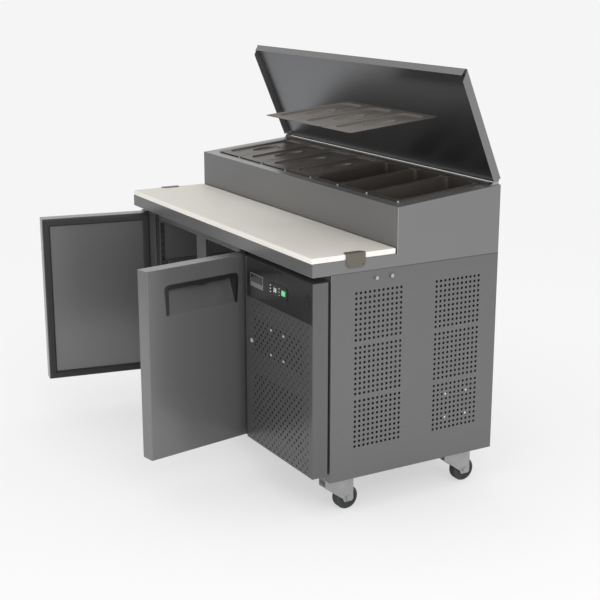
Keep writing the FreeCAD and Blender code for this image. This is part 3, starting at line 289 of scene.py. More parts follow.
def metalFinish(name, tone, metallic, roughness, grain=(2.0, 2.0, 300.0), spread=0.05, bumpDepth=0.00003):
    # satin sheet: long fine grain lines, slow cloudiness and uneven gloss
    material, tree, shader, coords = newMaterial(name)
    setInputs(shader, Metallic=metallic, Specular_IOR_Level=metalLook["specular"])
    dark, light = tonePair(tone, spread)
    lines = stretchedNoise(tree, coords, grain, metalLook["lineScale"], metalLook["lineDetail"])
    cloud = stretchedNoise(tree, coords, (1, 1, 1), metalLook["cloudScale"], metalLook["cloudDetail"])
    gloss = metalLook["glossSpread"]
    shade = ranged(tree, lines.outputs["Fac"], 0, 1, *metalLook["lineSpan"])
    link(tree, mixedColour(tree, shade, dark, light), shader.inputs["Base Color"])
    link(tree, ranged(tree, cloud.outputs["Fac"], roughness - gloss, roughness + gloss, 0.0, 1.0),
         shader.inputs["Roughness"])
    bumped(tree, shader, lines.outputs["Fac"], metalLook["bump"], bumpDepth)
    return material


plasticLook = {"cloudScale": 9.0, "cloudDetail": 4.0, "pebbleDetail": 2.0, "glossSpread": 0.05, "bump": 0.3}


def plasticFinish(name, tone, roughness, grainScale=900.0, spread=0.06, bumpDepth=0.00008, coat=0.0):
    # moulded plastic or rubber with a fine pebble
    material, tree, shader, coords = newMaterial(name)
    dark, light = tonePair(tone, spread)
    cloud = stretchedNoise(tree, coords, (1, 1, 1), plasticLook["cloudScale"], plasticLook["cloudDetail"])
    pebble = stretchedNoise(tree, coords, (1, 1, 1), grainScale, plasticLook["pebbleDetail"])
    gloss = plasticLook["glossSpread"]
    shade = ranged(tree, cloud.outputs["Fac"], 0, 1)
    link(tree, mixedColour(tree, shade, dark, light), shader.inputs["Base Color"])
    link(tree, ranged(tree, cloud.outputs["Fac"], roughness - gloss, roughness + gloss),
         shader.inputs["Roughness"])
    bumped(tree, shader, pebble.outputs["Fac"], plasticLook["bump"], bumpDepth)
    setInputs(shader, Coat_Weight=coat)
    return material


glowLook = {"cloudScale": 200.0, "cloudDetail": 2.0, "roughness": (0.25, 0.4)}


def glowFinish(name, tone, strength):
    material, tree, shader, coords = newMaterial(name)
    setInputs(shader, Base_Color=srgb(tone), Emission_Color=srgb(tone), Emission_Strength=strength)
    cloud = stretchedNoise(tree, coords, (1, 1, 1), glowLook["cloudScale"], glowLook["cloudDetail"])
    link(tree, ranged(tree, cloud.outputs["Fac"], *glowLook["roughness"]), shader.inputs["Roughness"])
    return material


smoothSheet = {"spread": 0.03, "bumpDepth": 0.00001}
rolledSheet = {"grain": (30, 30, 30), "spread": 0.03, "bumpDepth": 0.000004}

finishes = {
    "satin_steel": metalFinish("satinSteel", "7d7d7d", 0.6, 0.26, **smoothSheet),
    # painted shade: the side panel's satin steel in a darker tone, for the side that the key lamp lights
    "sideSteelShaded": metalFinish("sideSteelShaded", "6e6e6e", 0.6, 0.27, **smoothSheet),
    "bright_steel": metalFinish("brightSteel", "b4b3b0", 0.9, 0.3),
    "pan_steel": metalFinish("panSteel", "5a5550", 0.55, 0.36, **rolledSheet),
    "zinc_sheet": metalFinish("zincSheet", "565657", 0.6, 0.5, grain=(6, 6, 6), spread=0.1),
    # painted shade: satin steel in a darker tone, standing in for the dim reflection on the vent panel's
    # front; the backing sheet takes it too
    "dark_panel": metalFinish("darkPanelShaded", "656565", 0.6, 0.3, **smoothSheet),
    "fascia_gloss": plasticFinish("fasciaGloss", "171718", 0.3, coat=0.15),
    "switch_green": glowFinish("switchGreen", "6cc58b", 0.35),
    "liner_dark": metalFinish("linerDark", "717274", 0.9, 0.3, **smoothSheet),
    "board_white": plasticFinish("boardWhite", "d5d1c9", 0.55, grainScale=1600.0, spread=0.02),
    # painted light: the board's plastic made paler for its sides and underside
    "boardEdgeLit": plasticFinish("boardEdgeLit", "eeeae3", 0.5, grainScale=1600.0, spread=0.015),
    "clip_bronze": metalFinish("clipBronze", "6b665e", 0.5, 0.42),
    "black_enamel": plasticFinish("blackEnamel", "1c1c1c", 0.35),
    "coil_alloy": metalFinish("coilAlloy", "3c3d3e", 0.5, 0.5, grain=(500, 1, 1)),
    "fan_alloy": metalFinish("fanAlloy", "8d8e90", 0.8, 0.4),
    "copper_pipe": metalFinish("copperPipe", "5f4030", 0.9, 0.35),
    "gasket_rubber": plasticFinish("gasketRubber", "2d2d2d", 0.7),
    # painted shade: the satin steel a little darker, for the sheet deep in the handle recess
    "scoopSteelShaded": metalFinish("scoopSteelShaded", "7a7a7a", 0.6, 0.24, **smoothSheet),
    "handle_black": plasticFinish("handleBlack", "1d1d1d", 0.35),
    "shelf_wire": metalFinish("shelfWire", "a5a5a5", 0.9, 0.3),
    "caster_zinc": metalFinish("casterZinc", "a0a0a0", 0.7, 0.4, grain=(9, 9, 9), spread=0.1),
    "wheel_grey": plasticFinish("wheelGrey", "313235", 0.6),
    "displayBlack": plasticFinish("displayBlack", "101012", 0.15, coat=0.5),
    "displayWhite": glowFinish("displayWhite", "dfe0e2", 0.3),
    "lampRed": glowFinish("lampRed", "b05a52", 0.3),
    "badgeSteel": metalFinish("badgeSteel", "8e8e8e", 0.5, 0.35),
    "insideSteel": metalFinish("insideSteel", "8e8e8e", 0.5, 0.35, **smoothSheet),
    # painted glint: a pale, mostly non-metal steel, so small steel parts show as bright as their reflections
    # would make them
    "paintedGlintSteel": metalFinish("paintedGlintSteel", "cac7c2", 0.3, 0.3),
    "railSteel": metalFinish("railSteel", "a6a6a6", 0.9, 0.3),
    # painted sheen: a paler copy of the pan steel for the lids' raised beads and finger scoops, standing in
    # for the light they catch
    "lidPaintedSheen": metalFinish("lidPaintedSheen", "66615c", 0.45, 0.28, **rolledSheet),
    "ventBlack": plasticFinish("ventBlack", "161514", 0.6),
}

ownFinish = {"cabinet_liner": "insideSteel", "shelf_pilasters": "zinc_sheet"}

for entry in frame["record"]["subparts"]:
    cad = nodes[entry["node"]]
    cad.data.materials.clear()
    cad.data.materials.append(finishes[ownFinish.get(entry["node"], entry["material_slot"])])
print("finishes set")


slotOf = {entry["node"]: entry["material_slot"] for entry in frame["record"]["subparts"]}
bodyOf = {}
for bodyName, members in frame["record"]["behaviour"]["bodies"].items():
    for member in members:
        bodyOf[member] = bodyName


# helpers that shape pieces

# how nearly a face looks along an axis, and the angle that folded sheet keeps sharp
roughlyOn = 0.9
squareOn = 0.99
sheetShade = 30


def near(value, target, gap=0.0006):
    return abs(value - target) < gap


def level(ends, axis, value, gap=0.0006):
    # both ends of an edge lie at a value on an axis
    return all(near(end[axis], value, gap) for end in ends)


def addPlane(name, low, high):
    # flat sheet between two corners; it faces -Y, +X or +Z by the coordinate they share
    clearSelection()
    low, high = Vector(low), Vector(high)
    size = high - low
    flat = min(range(3), key=lambda i: size[i])
    turn = {0: (math.pi / 2, 0, math.pi / 2), 1: (math.pi / 2, 0, 0), 2: (0, 0, 0)}[flat]
    wide = {0: (size.y, size.z, 1), 1: (size.x, size.z, 1), 2: (size.x, size.y, 1)}[flat]
    bpy.ops.mesh.primitive_plane_add(size=1, location=(low + high) / 2, rotation=turn)
    return justAdded(name, wide)


def addDisc(name, centre, axis, radius, depth, sides=24):
    # round block about a level or upright axis, its middle at the centre
    clearSelection()
    turn = {0: (0, math.pi / 2, 0), 1: (math.pi / 2, 0, 0), 2: (0, 0, 0)}[axis]
    bpy.ops.mesh.primitive_cylinder_add(vertices=sides, radius=radius, depth=depth, location=centre,
                                        rotation=turn)
    return justAdded(name)


def cutAcross(piece, axis, places, test):
    # straight cuts square to an axis, through the faces that pass the test
    square = [0, 0, 0]
    square[axis] = 1
    for place in places:
        pickFaces(piece, test)
        bpy.ops.mesh.bisect(plane_co=[place * s for s in square], plane_no=square)
    leaveEdit()


def shift(x=0.0, y=0.0, z=0.0):
    bpy.ops.transform.translate(value=(x, y, z))


def extrude(x=0.0, y=0.0, z=0.0):
    bpy.ops.mesh.extrude_region_move(TRANSFORM_OT_translate={"value": (x, y, z)})


def removeFaces(piece, test):
    pickFaces(piece, test)
    bpy.ops.mesh.delete(type="FACE")
    leaveEdit()


def opened(piece, axes, low, high, test=lambda f: True):
    # a rectangular opening, its two corners given along two axes
    for axis, start, end in zip(axes, low, high):
        cutAcross(piece, axis, (start, end), test)
    removeFaces(piece, lambda f: test(f)
                and all(start < f.center[axis] < end for axis, start, end in zip(axes, low, high)))


def thickened(piece, depth, offset=-1):
    return modified(piece, "sheetWall", "SOLIDIFY", thickness=depth, offset=offset, use_even_offset=True)


def flipped(piece):
    pickAll(piece)
    bpy.ops.mesh.flip_normals()
    leaveEdit()


def placedBy(piece, matrix):
    piece.matrix_world = matrix @ piece.matrix_world
    settle(piece)
    if matrix.determinant() < 0:
        flipped(piece)
    return piece


def ownCopy(piece, name):
    activate(piece)
    bpy.ops.object.duplicate(linked=False)
    twin = bpy.context.active_object
    twin.name = name
    return twin


def finishAs(piece, node):
    # stands for a CAD node, on its body and with its slot and finish
    return finish(piece, slotOf[node], (node,), bodyOf[node])


def softened(node, width, segments=2, angle=35):
    # a CAD node's shape with its edges rounded
    piece = bevelled(cadCopy(node, node + "Soft"), width, segments, angle)
    return finishAs(piece, node)


# perforated sheets

def holeRows(first, pitch, count, step=0.0, blocks=1):
    return [[first + b * step + i * pitch for i in range(count)] for b in range(blocks)]


def punched(piece, holes, axes, blocks, facing, kept=lambda face: True):
    # a square cell round every place in the blocks of two axes; the kept cells get a rounded hole
    half = holes["pitch"] / 2
    sides = list(zip(axes, blocks))

    def inBlock(face):
        return facing(face) and all(any(row[0] - half < face.center[axis] < row[-1] + half for row in rows)
                                    for axis, rows in sides)

    def inHole(face):
        return facing(face) and kept(face) and all(any(near(face.center[axis], place) for row in rows
                                                       for place in row) for axis, rows in sides)

    for axis, rows in sides:
        cutAcross(piece, axis, [end for row in rows for end in (row[0] - half, row[-1] + half)], facing)
    for axis, rows in sides:
        cutAcross(piece, axis, [place + half for row in rows for place in row[:-1]], inBlock)
    pickFaces(piece, lambda f: inBlock(f) and kept(f))
    bpy.ops.mesh.inset(thickness=(holes["pitch"] - holes["size"]) / 2, depth=0, use_individual=True)
    bpy.ops.mesh.bevel(offset=holes["round"], segments=holes["roundSteps"], affect="VERTICES")
    leaveEdit()
    removeFaces(piece, inHole)


sidePanel = {
    "pitch": 0.0166,
    "size": 0.0080,
    "round": 0.0019,
    "roundSteps": 2,
    "firstY": -0.194,
    "firstZ": 0.2248,
    "columns": 11,
    "rows": 10,
    "blockStepY": 0.3015,
    "blockStepZ": 0.1745,
    "sheet": 0.0012,
    "fold": 0.012,
    "foldRound": 0.0018,
}


def buildSidePanel():
    p = sidePanel
    low, high = corners("side_panel")
    piece = addPlane("sidePanelPunched", (high.x, low.y, low.z), high)
    pickEdges(piece, lambda ends: level(ends, 1, low.y))
    extrude(x=-p["fold"])
    pickEdges(piece, lambda ends: level(ends, 2, high.z) and level(ends, 0, high.x))
    extrude(x=-p["fold"])
    pickEdges(piece, lambda ends: level(ends, 0, high.x)
              and (level(ends, 1, low.y) or level(ends, 2, high.z)))
    bpy.ops.mesh.bevel(offset=p["foldRound"], segments=3, affect="EDGES")
    leaveEdit()
    blocks = (holeRows(p["firstY"], p["pitch"], p["columns"], p["blockStepY"], 2),
              holeRows(p["firstZ"], p["pitch"], p["rows"], p["blockStepZ"], 3))
    punched(piece, p, (1, 2), blocks, lambda f: f.normal.x > squareOn)
    thickened(piece, p["sheet"])
    # the side panel takes the darker copy of the satin steel, painted shade
    finish(smoothed(piece, sheetShade), "sideSteelShaded", ("side_panel",))


buildSidePanel()
print("side panel punched")

# dark bead of sealant in the joint above the side panel

seal = {"half": 0.0009, "proud": 0.0002, "depth": 0.003, "round": 0.0003}


def buildSeal():
    low, high = corners("side_panel")
    bead = addBlock("sealBead", (high.x - seal["depth"], low.y, high.z - seal["half"]),
                    (high.x + seal["proud"], high.y, high.z + seal["half"]))
    bevelled(bead, seal["round"], segments=3)
    finish(bead, "gasket_rubber")


buildSeal()
print("joint sealed")

ventPanel = {
    "pitch": 0.01435,
    "size": 0.0082,
    "round": 0.0022,
    "roundSteps": 2,
    "firstX": 0.2925,
    "firstZ": 0.1547,
    "columns": 26,
    "rows": 34,
    "sheet": 0.0012,
    "edge": 0.0016,
    "depth": 0.054,
    "flangeInset": 0.016,
    "openingLap": 0.003,
}


def buildVentPanel():
    p = ventPanel
    low, high = corners("front_vent_panel")
    front = low.y
    rear = front + p["depth"]
    piece = addBlock("ventPanelPunched", (low.x, front, low.z), (high.x, rear, high.z))
    removeFaces(piece, lambda f: f.normal.y > roughlyOn)
    bevelled(piece, p["edge"], segments=3, angle=60)
    blocks = (holeRows(p["firstX"], p["pitch"], p["columns"]), holeRows(p["firstZ"], p["pitch"], p["rows"]))
    fieldTop = blocks[1][0][-1] + p["pitch"] / 2

    def facing(face):
        return face.normal.y < -squareOn

    def staggered(face):
        column = round((face.center.x - p["firstX"]) / p["pitch"])
        row = round((face.center.z - p["firstZ"]) / p["pitch"])
        return (column + row) % 2 == 0

    punched(piece, p, (0, 2), blocks, facing, staggered)
    # opening for the controller, hidden behind its bezel
    openLow, openHigh = corners("controller")
    lap = Vector((p["openingLap"], 0, p["openingLap"]))

    def above(face):
        return facing(face) and face.center.z > fieldTop

    opened(piece, (0, 2), (openLow + lap).xz, (openHigh - lap).xz, above)
    thickened(piece, p["sheet"])
    shelves = [piece]
    for z in (low.z, high.z - p["sheet"]):
        shelves.append(addBlock("ventFlange", (low.x + p["flangeInset"], rear, z),
                                (high.x - p["flangeInset"], high.y, z + p["sheet"])))
    piece = joinPieces("ventPanelPunched", shelves)
    # its slot's finish is the darker steel, painted shade on its front
    finishAs(smoothed(piece, sheetShade), "front_vent_panel")


buildVentPanel()
print("vent panel punched")

rearPanel = {
    "sheet": 0.0012,
    "slotHeight": 0.008,
    "margin": 0.040,
    "first": 0.090,
    "pitch": 0.026,
    "count": 14,
    "hoodDepth": 0.010,
    "hoodDrop": 0.0095,
    "slack": 0.001,
}


def buildRearPanel():
    # each slot keeps its pressed flap, which leans inwards and down from its top edge
    p = rearPanel
    low, high = corners("rear_panel")
    piece = addPlane("rearPanelLouvred", (low.x, high.y, low.z), high)
    placedBy(piece, Matrix.Translation((low.x + high.x, 2 * high.y, 0)) @ Matrix.Rotation(math.pi, 4, "Z"))
    x0 = low.x + p["margin"]
    x1 = high.x - p["margin"]
    feet = [low.z + p["first"] + i * p["pitch"] for i in range(p["count"])]
    cutAcross(piece, 0, (x0, x1), lambda f: True)

    def column(face):
        return x0 < face.center.x < x1

    cutAcross(piece, 2, [z for foot in feet for z in (foot, foot + p["slotHeight"])], column)
    middles = [foot + p["slotHeight"] / 2 for foot in feet]
    removeFaces(piece, lambda f: column(f) and any(near(f.center.z, z, p["slack"]) for z in middles))
    tops = [foot + p["slotHeight"] for foot in feet]
    pickEdges(piece, lambda ends: all(x0 - p["slack"] < end.x < x1 + p["slack"] for end in ends)
              and any(level(ends, 2, z) for z in tops))
    extrude(y=-p["hoodDepth"], z=-p["hoodDrop"])
    leaveEdit()
    thickened(piece, p["sheet"])
    finishAs(smoothed(piece, sheetShade), "rear_panel")


buildRearPanel()
print("rear panel louvred")

# door handles

handle = {
    "fromFreeEdge": 0.066,
    "width": 0.290,
    "bar": 0.013,
    "legFoot": 0.005,
    "cornerRound": 0.016,
    "depth": 0.030,
    "undercut": 0.006,
    "proud": 0.0018,
    "grip": 0.030,
    "gripDrop": 0.005,
    "scoopSheet": 0.0012,
    "scoopRound": 0.012,
    "recessFoot": 0.0015,
    "legTaper": 0.6,
    "trimRound": 0.0005,
    "slack": 0.0003,
    "faceFromPivot": 0.027,
    "edgeFromPivot": 0.025,
    "doorWidth": 0.4325,
}

hinges = {j["name"]: j for j in frame["record"]["behaviour"]["joints"]}


def doorPlace(side):
    # carries a piece drawn on the closed right-hand door to its door at rest
    hinge = hinges[side + "_door_hinge"]
    pivot = Vector(hinge["pos_m"])
    swing = math.radians(-hinge["range_deg"][0]) * hinge["axis"][2]
    turned = Matrix.Translation(pivot) @ Matrix.Rotation(swing, 4, "Z") @ Matrix.Translation(-pivot)
    if side == "right":
        return turned
    middle = (pivot.x + hinges["right_door_hinge"]["pos_m"][0]) / 2
    mirror = Matrix.Translation((2 * middle, 0, 0)) @ Matrix.Diagonal((-1, 1, 1, 1))
    return turned @ mirror


def buildTrim(face, left, right, foot, top):
    # the frame round the recess, with tapering legs and a dip in the bar for the fingers
    p = handle
    piece = addPlane("handleTrim", (left, face, foot), (right, face, top))
    pickPoints(piece, lambda c: near(c.z, top))
    bpy.ops.mesh.bevel(offset=p["cornerRound"], segments=5, affect="VERTICES")
    leaveEdit()
    innerLeft = left + p["bar"]
    innerRight = right - p["bar"]
    under = top - p["bar"]
    middle = (left + right) / 2
    grip = [middle + step * p["grip"] for step in (-1, 0, 1)]
    cutAcross(piece, 0, (innerLeft, innerRight, *grip), lambda f: True)
    cutAcross(piece, 2, (under,), lambda f: True)
    removeFaces(piece, lambda f: innerLeft < f.center.x < innerRight and f.center.z < under)

    # black cheeks and ceiling of the recess
    def onOpening(c):
        return c.z < under + p["slack"] and innerLeft - p["slack"] < c.x < innerRight + p["slack"]

    pickEdges(piece, lambda ends: all(map(onOpening, ends)) and (
        level(ends, 2, under) or level(ends, 0, innerLeft) or level(ends, 0, innerRight)))
    extrude(y=p["depth"])
    pickPoints(piece, lambda c: near(c.z, foot) and c.y > face + p["depth"] / 2)
    shift(y=p["recessFoot"] - p["depth"])
    pickPoints(piece, lambda c: near(c.x, middle) and near(c.z, under) and near(c.y, face))
    shift(z=-p["gripDrop"])
    for x, inward in ((left, 1), (right, -1)):
        pickPoints(piece, lambda c: near(c.x, x) and near(c.z, foot) and near(c.y, face))
        shift(x=inward * (p["bar"] - p["legFoot"]) * p["legTaper"])
    leaveEdit()
    thickened(piece, p["proud"], 1)
    return bevelled(piece, p["trimRound"], angle=50)


def buildScoop(face, left, right, foot, top):
    # sheet at the back of the recess, leaning out to the door's face at its foot
    p = handle
    x0 = left + p["bar"]
    x1 = right - p["bar"]
    under = top - p["bar"]
    bend = under - p["undercut"]
    piece = addPlane("handleScoop", (x0, face, foot), (x1, face, under))
    cutAcross(piece, 2, (bend,), lambda f: True)
    pickPoints(piece, lambda c: c.z > bend - p["slack"])
    shift(y=p["depth"] - p["recessFoot"])
    pickEdges(piece, lambda ends: level(ends, 2, bend))
    bpy.ops.mesh.bevel(offset=p["scoopRound"] / 2, segments=4, affect="EDGES")
    leaveEdit()
    thickened(piece, p["scoopSheet"])
    return smoothed(piece, angle=60)


def buildHandles():
    p = handle
    pivot = hinges["right_door_hinge"]["pos_m"]
    left = pivot[0] + p["edgeFromPivot"] - p["doorWidth"] + p["fromFreeEdge"]
    low, high = corners("right_door_handle")
    spots = (pivot[1] - p["faceFromPivot"], left, left + p["width"], low.z, high.z)
    trim = buildTrim(*spots)
    scoop = buildScoop(*spots)
    for side in ("left", "right"):
        node = side + "_door_handle"
        twin = placedBy(ownCopy(trim, side + "HandleTrim"), doorPlace(side))
        finishAs(twin, node)
        twin = placedBy(ownCopy(scoop, side + "HandleScoop"), doorPlace(side))
        # the scoop takes the darker steel, painted shade in the recess
        finish(twin, "scoopSteelShaded", (node,), bodyOf[node])
    for spare in (trim, scoop):
        bpy.data.objects.remove(spare)


buildHandles()
print("handles made")

# control panel

control = {
    "fasciaRound": 0.0008,
    "bezelLap": 0.003,
    "bezelRound": 0.0005,
    "glassXs": (0.0225, 0.0685),
    "glassHalf": 0.0107,
    "glassBack": 0.0007,
    "glassSheet": 0.0004,
    "digits": "38",
    "digitsPlace": (0.0265, 0.0004, -0.0070),
    "digitHeight": 0.0195,
    "digitProud": 0.0002,
    "digitSpacing": 1.05,
    "keyX": 0.009,
    "keyHalf": (0.0028, 0.0013),
    "keyProud": 0.0006,
    "keyRound": 0.0005,
    "keyStep": 0.0105,
    "markX": 0.0665,
    "markRadius": 0.0013,
    "lampX": 0.040,
    "lampDrop": 0.0145,
    "lampRadius": 0.0016,
    "badgeLow": (0.285, 0.6820),
    "badgeHigh": (0.371, 0.7265),
    "badgeRim": 0.0028,
    "badgeProud": 0.0010,
    "badgeRound": 0.0004,
    "badgeBand": 0.013,
    "badgeSink": 0.0005,
    "fieldArea": 0.0001,
    "fieldProud": 0.00048,
    "fieldSheet": 0.0003,
}


def raisedDot(name, x, y, z, radius, proud=0.0005, sides=12):
    return addDisc(name, (x, y - proud / 2, z), 1, radius, proud, sides)


def buildFascia():
    low, high = corners("control_fascia")
    # the opening stays behind the controller's rounded bezel
    lap = Vector((control["bezelLap"], 0, control["bezelLap"]))
    openLow, openHigh = corners("controller")
    piece = addPlane("fasciaPanel", low, (high.x, low.y, high.z))
    opened(piece, (0, 2), (openLow + lap).xz, (openHigh - lap).xz)
    thickened(piece, high.y - low.y)
    bevelled(piece, control["fasciaRound"], segments=3, angle=60)
    finishAs(piece, "control_fascia")


def buildControls():
    p = control
    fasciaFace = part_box("control_fascia")[0][1]
    low, high = corners("controller")
    face = low.y
    middleZ = (low.z + high.z) / 2
    bezel = bevelled(cadCopy("controller", "controllerBezel"), p["bezelRound"], angle=40)
    finishAs(bezel, "controller")

    x0, x1 = (low.x + x for x in p["glassXs"])
    glass = addPlane("displayGlass", (x0, face + p["glassBack"], middleZ - p["glassHalf"]),
                     (x1, face + p["glassBack"], middleZ + p["glassHalf"]))
    thickened(glass, p["glassSheet"])
    finish(glass, "displayBlack")

    clearSelection()
    bpy.ops.object.text_add(location=Vector((low.x, face, middleZ)) + Vector(p["digitsPlace"]),
                            rotation=(math.pi / 2, 0, 0))
    digits = bpy.context.active_object
    digits.data.body = p["digits"]
    digits.data.size = p["digitHeight"]
    digits.data.extrude = p["digitProud"]
    digits.data.space_character = p["digitSpacing"]
    digits.data.resolution_u = 3
    bpy.ops.object.convert(target="MESH")
    finish(justAdded("displayDigits"), "displayWhite")

    marks = []
    x = low.x + p["keyX"]
    halfX, halfZ = p["keyHalf"]
    for step in (-1, 0, 1):
        z = middleZ + step * p["keyStep"]
        key = addBlock("key", (x - halfX, face - p["keyProud"], z - halfZ), (x + halfX, face, z + halfZ))
        marks.append(bevelled(key, p["keyRound"], angle=40))
        marks.append(raisedDot("mark", low.x + p["markX"], face, z, p["markRadius"]))
    joined = joinPieces("controllerMarks", marks)
    # painted glow: the keys and marks take the display's glowing finish, though they are no lamps
    finish(joined, "displayWhite")
    lamp = raisedDot("controllerLamp", low.x + p["lampX"], face, middleZ - p["lampDrop"], p["lampRadius"])
    finish(lamp, "lampRed")

    x0, z0 = p["badgeLow"]
    x1, z1 = p["badgeHigh"]
    plate = addBlock("badgePlate", (x0, fasciaFace - p["badgeProud"], z0), (x1, fasciaFace, z1))
    bevelled(plate, p["badgeRound"])
    bandTop = z0 + p["badgeBand"]
    cutAcross(plate, 2, (bandTop,), lambda f: f.normal.y < -roughlyOn)
    pickFaces(plate, lambda f: f.normal.y < -roughlyOn and f.center.z > bandTop and f.area > p["fieldArea"])
    bpy.ops.mesh.inset(thickness=p["badgeRim"])
    extrude(y=p["badgeSink"])
    leaveEdit()
    finish(smoothed(plate, sheetShade), "badgeSteel")
    rim = p["badgeRim"]
    y = fasciaFace - p["fieldProud"]
    field = addPlane("badgeField", (x0 + rim, y, bandTop + rim), (x1 - rim, y, z1 - rim))
    thickened(field, p["fieldSheet"], 1)
    finish(field, "displayBlack")


buildFascia()
buildControls()
print("control panel made")

# screws and lock of the vent panel

trimHeads = {
    "screws": ((0.417, 0.5615), (0.499, 0.5615), (0.417, 0.4785), (0.499, 0.4785)),
    "screwRadius": 0.0046,
    "screwHeight": 0.0022,
    "screwRound": 0.0006,
    "socketShare": 0.5,
    "socketDepth": 0.0010,
    "sideScrews": ((0.1540, 0.3405), (0.2370, 0.3405), (0.1540, 0.2600), (0.2370, 0.2600)),
    "sideRadius": 0.0038,
    "sideHeight": 0.0016,
    "sideProud": 0.0002,
    "sideRound": 0.16,
    "clipScrews": ((-0.2247, 0.8140), (-0.1720, 0.8140)),
    "clipRadius": 0.0016,
    "lock": (0.286, 0.4945),
    "lockRadius": 0.0078,
    "lockHeight": 0.003,
    "lockRim": 0.002,
    "lockSink": 0.0006,
    "keywayInset": 0.0042,
    "keywayShape": (0.45, 1, 1.6),
    "keywayDepth": 0.0015,
    "lockRound": 0.0004,
}


def buildSideHeads():
    # domed screws on the side panel and small dark ones on the right-hand board bracket
    p = trimHeads
    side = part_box("side_panel")[1][0]
    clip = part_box("board_brackets")[1][0]
    # the side screws take the pale steel, a painted glint
    for name, face, places, radius, slotName, tone in (
            ("sidePanelScrews", side, p["sideScrews"], p["sideRadius"], "bright_steel", "paintedGlintSteel"),
            ("clipScrews", clip, p["clipScrews"], p["clipRadius"], "clip_bronze", "ventBlack")):
        heads = []
        for place in places:
            centre = (face + p["sideProud"], *place)
            heads.append(addDisc("screw", centre, 0, radius, p["sideHeight"], sides=16))
        heads = bevelled(joinPieces(name, heads), radius * p["sideRound"], angle=60)
        finish(heads, tone)


def buildHeads():
    p = trimHeads
    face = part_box("front_vent_panel")[0][1]
    height = p["screwHeight"]
    first = addDisc("screwHead", (0, face - height / 2, 0), 1, p["screwRadius"], height, sides=16)
    pickFaces(first, lambda f: f.normal.y < -roughlyOn)
    bpy.ops.mesh.inset(thickness=p["screwRadius"] * p["socketShare"])
    extrude(y=p["socketDepth"])
    leaveEdit()
    bevelled(first, p["screwRound"], angle=60)
    heads = []
    for x, z in p["screws"]:
        twin = ownCopy(first, "screwHead")
        twin.location = (x, 0, z)
        settle(twin)
        heads.append(twin)
    bpy.data.objects.remove(first)
    lock = addDisc("lockBarrel", (p["lock"][0], face - p["lockHeight"] / 2, p["lock"][1]), 1,
                   p["lockRadius"], p["lockHeight"])
    pickFaces(lock, lambda f: f.normal.y < -roughlyOn)
    bpy.ops.mesh.inset(thickness=p["lockRim"])
    extrude(y=p["lockSink"])
    bpy.ops.mesh.inset(thickness=p["keywayInset"])
    bpy.ops.transform.resize(value=p["keywayShape"])
    extrude(y=p["keywayDepth"])
    leaveEdit()
    heads.append(bevelled(lock, p["lockRound"], angle=60))
    piece = joinPieces("ventPanelHeads", heads)
    # the heads and the lock take the pale steel, a painted glint
    finish(piece, "paintedGlintSteel")


buildHeads()
buildSideHeads()
print("screws and lock made")

# casters

wheel = {
    "round": 0.006,
    "recessInset": 0.011,
    "recess": 0.0025,
    "hubInset": 0.013,
    "hub": 0.0036,
    "edge": 0.0008,
    "forkRound": 0.0008,
}


def buildWheel(site):
    p = wheel
    node = "caster_wheel_" + site
    low, high = corners(node)
    middle = (low + high) / 2
    radius = (high.z - low.z) / 2
    piece = addDisc(node + "Tyre", (middle.x, middle.y, radius), 0, radius, high.x - low.x, sides=48)
    pickEdges(piece, lambda ends: near(ends[0].x, ends[1].x))
    bpy.ops.mesh.bevel(offset=p["round"], segments=4, affect="EDGES")
    leaveEdit()
    for side in (-1, 1):
        end = low.x if side < 0 else high.x
        pickFaces(piece, lambda f: f.normal.x * side > squareOn and near(f.center.x, end))
        bpy.ops.mesh.inset(thickness=p["recessInset"] - p["round"])
        extrude(x=-side * p["recess"])
        bpy.ops.mesh.inset(thickness=p["hubInset"])
        extrude(x=side * p["hub"])
        leaveEdit()
    bevelled(piece, p["edge"], angle=50)
    finishAs(piece, node)


for site in ("front_left", "front_right", "rear_left", "rear_right"):
    buildWheel(site)
    softened("caster_fork_" + site, wheel["forkRound"], angle=30)
print("casters made")

# worktop and collar, folded from one sheet

collar = {
    "sheet": 0.0012,
    "edge": 0.0018,
    "step": -0.046,
    "worktop": 0.8307,
    "frontTop": 0.9759,
    "slope": 5.35,
    "openingFront": 0.0342,
    "openingRear": 0.3676,
    "openingHalf": 0.62545,
    "topLevel": 0.98,
    "topLean": 0.05,
    "topSlack": 0.002,
    "cornerTurn": 0.15,
    "cornerReach": 0.01,
}


def buildCollar():
    p = collar
    low, high = corners("worktop_collar")
    rise = math.tan(math.radians(p["slope"]))
    lean = math.cos(math.radians(p["slope"]))
    rearTop = p["frontTop"] + (high.y - p["step"]) * rise
    piece = addBlock("worktopCollar", low, (high.x, high.y, p["worktop"]))
    cutAcross(piece, 1, (p["step"],), lambda f: True)
    pickFaces(piece, lambda f: f.normal.z > roughlyOn and f.center.y > p["step"])
    extrude(z=p["frontTop"] - p["worktop"])
    leaveEdit()
    pickPoints(piece, lambda c: near(c.z, p["frontTop"]) and near(c.y, high.y))
    shift(z=rearTop - p["frontTop"])
    leaveEdit()
    removeFaces(piece, lambda f: f.normal.z < -roughlyOn)
    bevelled(piece, p["edge"], segments=3)
    ys = [p["step"] + p[k] * lean for k in ("openingFront", "openingRear")]

    def top(face):
        return (face.normal.z > p["topLevel"] and face.normal.y < -p["topLean"]
                and face.center.z > p["frontTop"] - p["topSlack"])

    opened(piece, (0, 1), (-p["openingHalf"], ys[0]), (p["openingHalf"], ys[1]), top)
    thickened(piece, p["sheet"])
    finishAs(smoothed(piece, sheetShade), "worktop_collar")

    def paintedCornerHighlight(face):
        # painted highlight along the collar's upright corner
        return (face.normal.x > p["cornerTurn"] and face.normal.y < -p["cornerTurn"]
                and face.center.z > p["worktop"] and face.center.y > p["step"] - p["cornerReach"])

    # the corner's rounded faces take the paler zinc finish as a painted highlight
    secondFinish(piece, "caster_zinc", paintedCornerHighlight)


buildCollar()
print("collar made")

# pan lids, each pressed from one sheet

